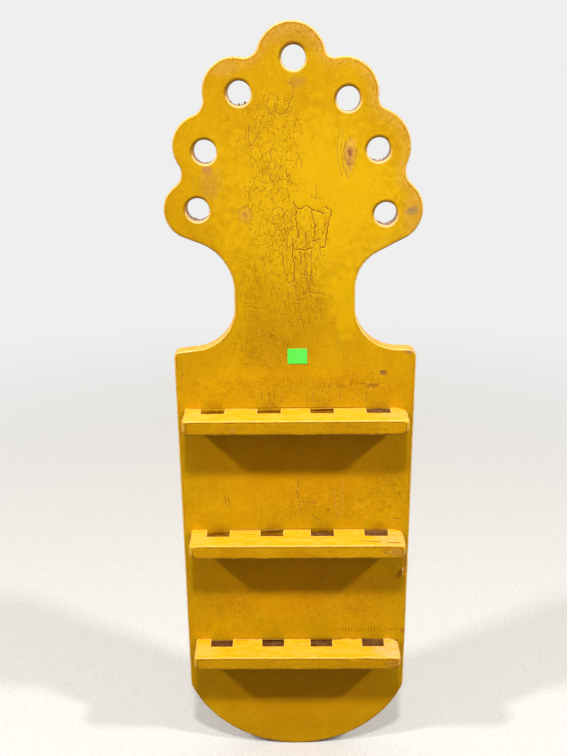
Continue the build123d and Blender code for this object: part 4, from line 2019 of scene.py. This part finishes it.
@dataclass(frozen=True)
class Studio:
    """A pale floor, three lamps in a row, an even sky and the camera, in metres and degrees.

    The sky is brighter behind the rack, where no lamp stands.  Pale is the colour of floor and
    background, and the focal length is on a 36 mm sensor.
    """

    lamps: tuple[Lamp, ...] = (
        Lamp("lamp_left", (-1.86, -0.97, 1.29), 40.0),
        Lamp("lamp_middle", (0.0, -1.35, 1.97), 38.0),
        Lamp("lamp_right", (1.86, -0.97, 1.29), 40.0),
    )
    floor_radius: float = 6.0
    pale: Colour = (0.86, 0.86, 0.86, 1.0)
    sky: float = 0.36
    sky_behind: float = 0.9
    eye: Triple = (-0.0017, -0.8644, -0.0076)
    turn: Triple = (70.70, 0.548, 0.489)
    focal: float = 42.38

    def build(self) -> None:
        """Makes the floor, the lamps, the world and the camera."""
        scene = bpy.context.scene
        scene.view_settings.view_transform = "Standard"
        self._floor()
        for lamp in self.lamps:
            lamp.build()
        self._world()
        camera = bpy.data.cameras.new("camera")
        camera.lens, camera.sensor_width, camera.clip_start = self.focal, 36.0, 0.05
        scene.camera = hold("camera", camera, self.eye, [math.radians(angle) for angle in self.turn])

    def _floor(self) -> None:
        """A round floor under the foot, which fades into the background at its rim."""
        spokes = 96
        angle = np.arange(spokes) * 2 * np.pi / spokes
        rim = np.stack([np.cos(angle), np.sin(angle), np.zeros(spokes)], axis=1) * self.floor_radius
        points = (rim + np.array([0, 0, cad_bounds[0][2]])) / MM
        floor = new_piece("floor", points, [list(range(spokes))], {})
        floor.data.materials.append(self._floor_material())

    def _floor_material(self) -> bpy.types.Material:
        """Pale to the camera and greyer to other rays, with the background's colour at the rim.

        Returns:
            The material.
        """
        sheet = Sheet("pale_floor")
        path = sheet.add("ShaderNodeLightPath")
        names = ("Is Camera Ray", "Is Glossy Ray", "Is Transmission Ray")
        camera, glossy, through = (Field(sheet, path.outputs[name]) for name in names)
        seen = camera | glossy | through
        speck = sheet.noise((3, 3, 3), 3, 0.7)
        shown = sheet.mix(speck.step(0.3, 0.7), tone(206, 204, 200), tone(216, 214, 210))
        colour = sheet.mix(seen, tone(76, 75, 72), shown)
        diffuse = sheet.add("ShaderNodeBsdfDiffuse", {"Color": colour})
        glow = sheet.add("ShaderNodeEmission", {"Color": self.pale, "Strength": 1.0})
        length = sheet.add("ShaderNodeVectorMath", {0: sheet.moved((1, 1, 0))}, operation="LENGTH")
        far = Field(sheet, length.outputs["Value"]).step(350.0, 1900.0) * seen
        mixed = sheet.add("ShaderNodeMixShader", {0: far.socket, 1: diffuse.outputs[0], 2: glow.outputs[0]})
        sheet.add("ShaderNodeOutputMaterial", {0: mixed.outputs[0]})
        return sheet.material

    def _world(self) -> None:
        """A soft sky, brighter behind, and the pale background for whatever sees it directly."""
        world = bpy.data.worlds.new("studio")
        world.use_nodes = True
        tree = world.node_tree
        tree.nodes.clear()
        path = add_node(tree, "ShaderNodeLightPath")
        front, rear, shown = (
            add_node(tree, "ShaderNodeBackground", {0: colour, 1: strength}).outputs[0]
            for colour, strength in ((WARM_SKY, self.sky), (WARM_SKY, self.sky_behind), (self.pale, 1.0))
        )
        way = add_node(tree, "ShaderNodeTexCoord").outputs["Generated"]
        rearward = add_node(tree, "ShaderNodeSeparateXYZ", {0: way}).outputs["Y"]
        behind = add_node(tree, "ShaderNodeMapRange", {0: rearward, 1: 0.05, 2: 0.5}).outputs[0]
        light = add_node(tree, "ShaderNodeMixShader", {0: behind, 1: front, 2: rear}).outputs[0]
        seen = path.outputs["Is Camera Ray"]
        for name in ("Is Glossy Ray", "Is Transmission Ray"):
            both = {0: seen, 1: path.outputs[name]}
            seen = add_node(tree, "ShaderNodeMath", both, operation="MAXIMUM").outputs[0]
        mixed = add_node(tree, "ShaderNodeMixShader", {0: seen, 1: light, 2: shown}).outputs[0]
        add_node(tree, "ShaderNodeOutputWorld", {0: mixed})
        bpy.context.scene.world = world


def settle(piece: bpy.types.Object, material: bpy.types.Material, slot: str, *nodes: str) -> None:
    """Dresses a new piece and ties it to the frame.

    Args:
        piece: the piece.
        material: its material.
        slot: the material slot's name; not used.
        *nodes: the frame nodes that it stands for.
    """
    piece.data.materials.append(material)
    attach(piece, "root")
    if nodes:
        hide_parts(*nodes)
    log.info("%s: %d faces", piece.name, len(piece.data.polygons))


def main() -> None:
    """Builds the rack piece by piece, then the studio round it."""
    logging.basicConfig(level=logging.INFO, format="%(name)s %(message)s")
    screws = ShelfScrews()
    board = BackBoard()
    board_paint = board.finish().material()
    settle(board.build(screws.places()), board_paint, "board_paint", "back_board")
    settle(LiftedChip().build(-board.thickness), board_paint, "board_paint")
    for node, seed in (("top_shelf", 100), ("middle_shelf", 200), ("bottom_shelf", 300)):
        shelf = Shelf(node, seed)
        settle(shelf.build(), shelf.finish().material(), "shelf_paint", node)
    log.info("%s: dressed", screws.dress(DulledSteel()).name)
    settle(PriceSticker().build(), LabelPaper().material(), "sticker_paper", "price_sticker")
    Studio().build()


if __name__ == "__main__":
    main()
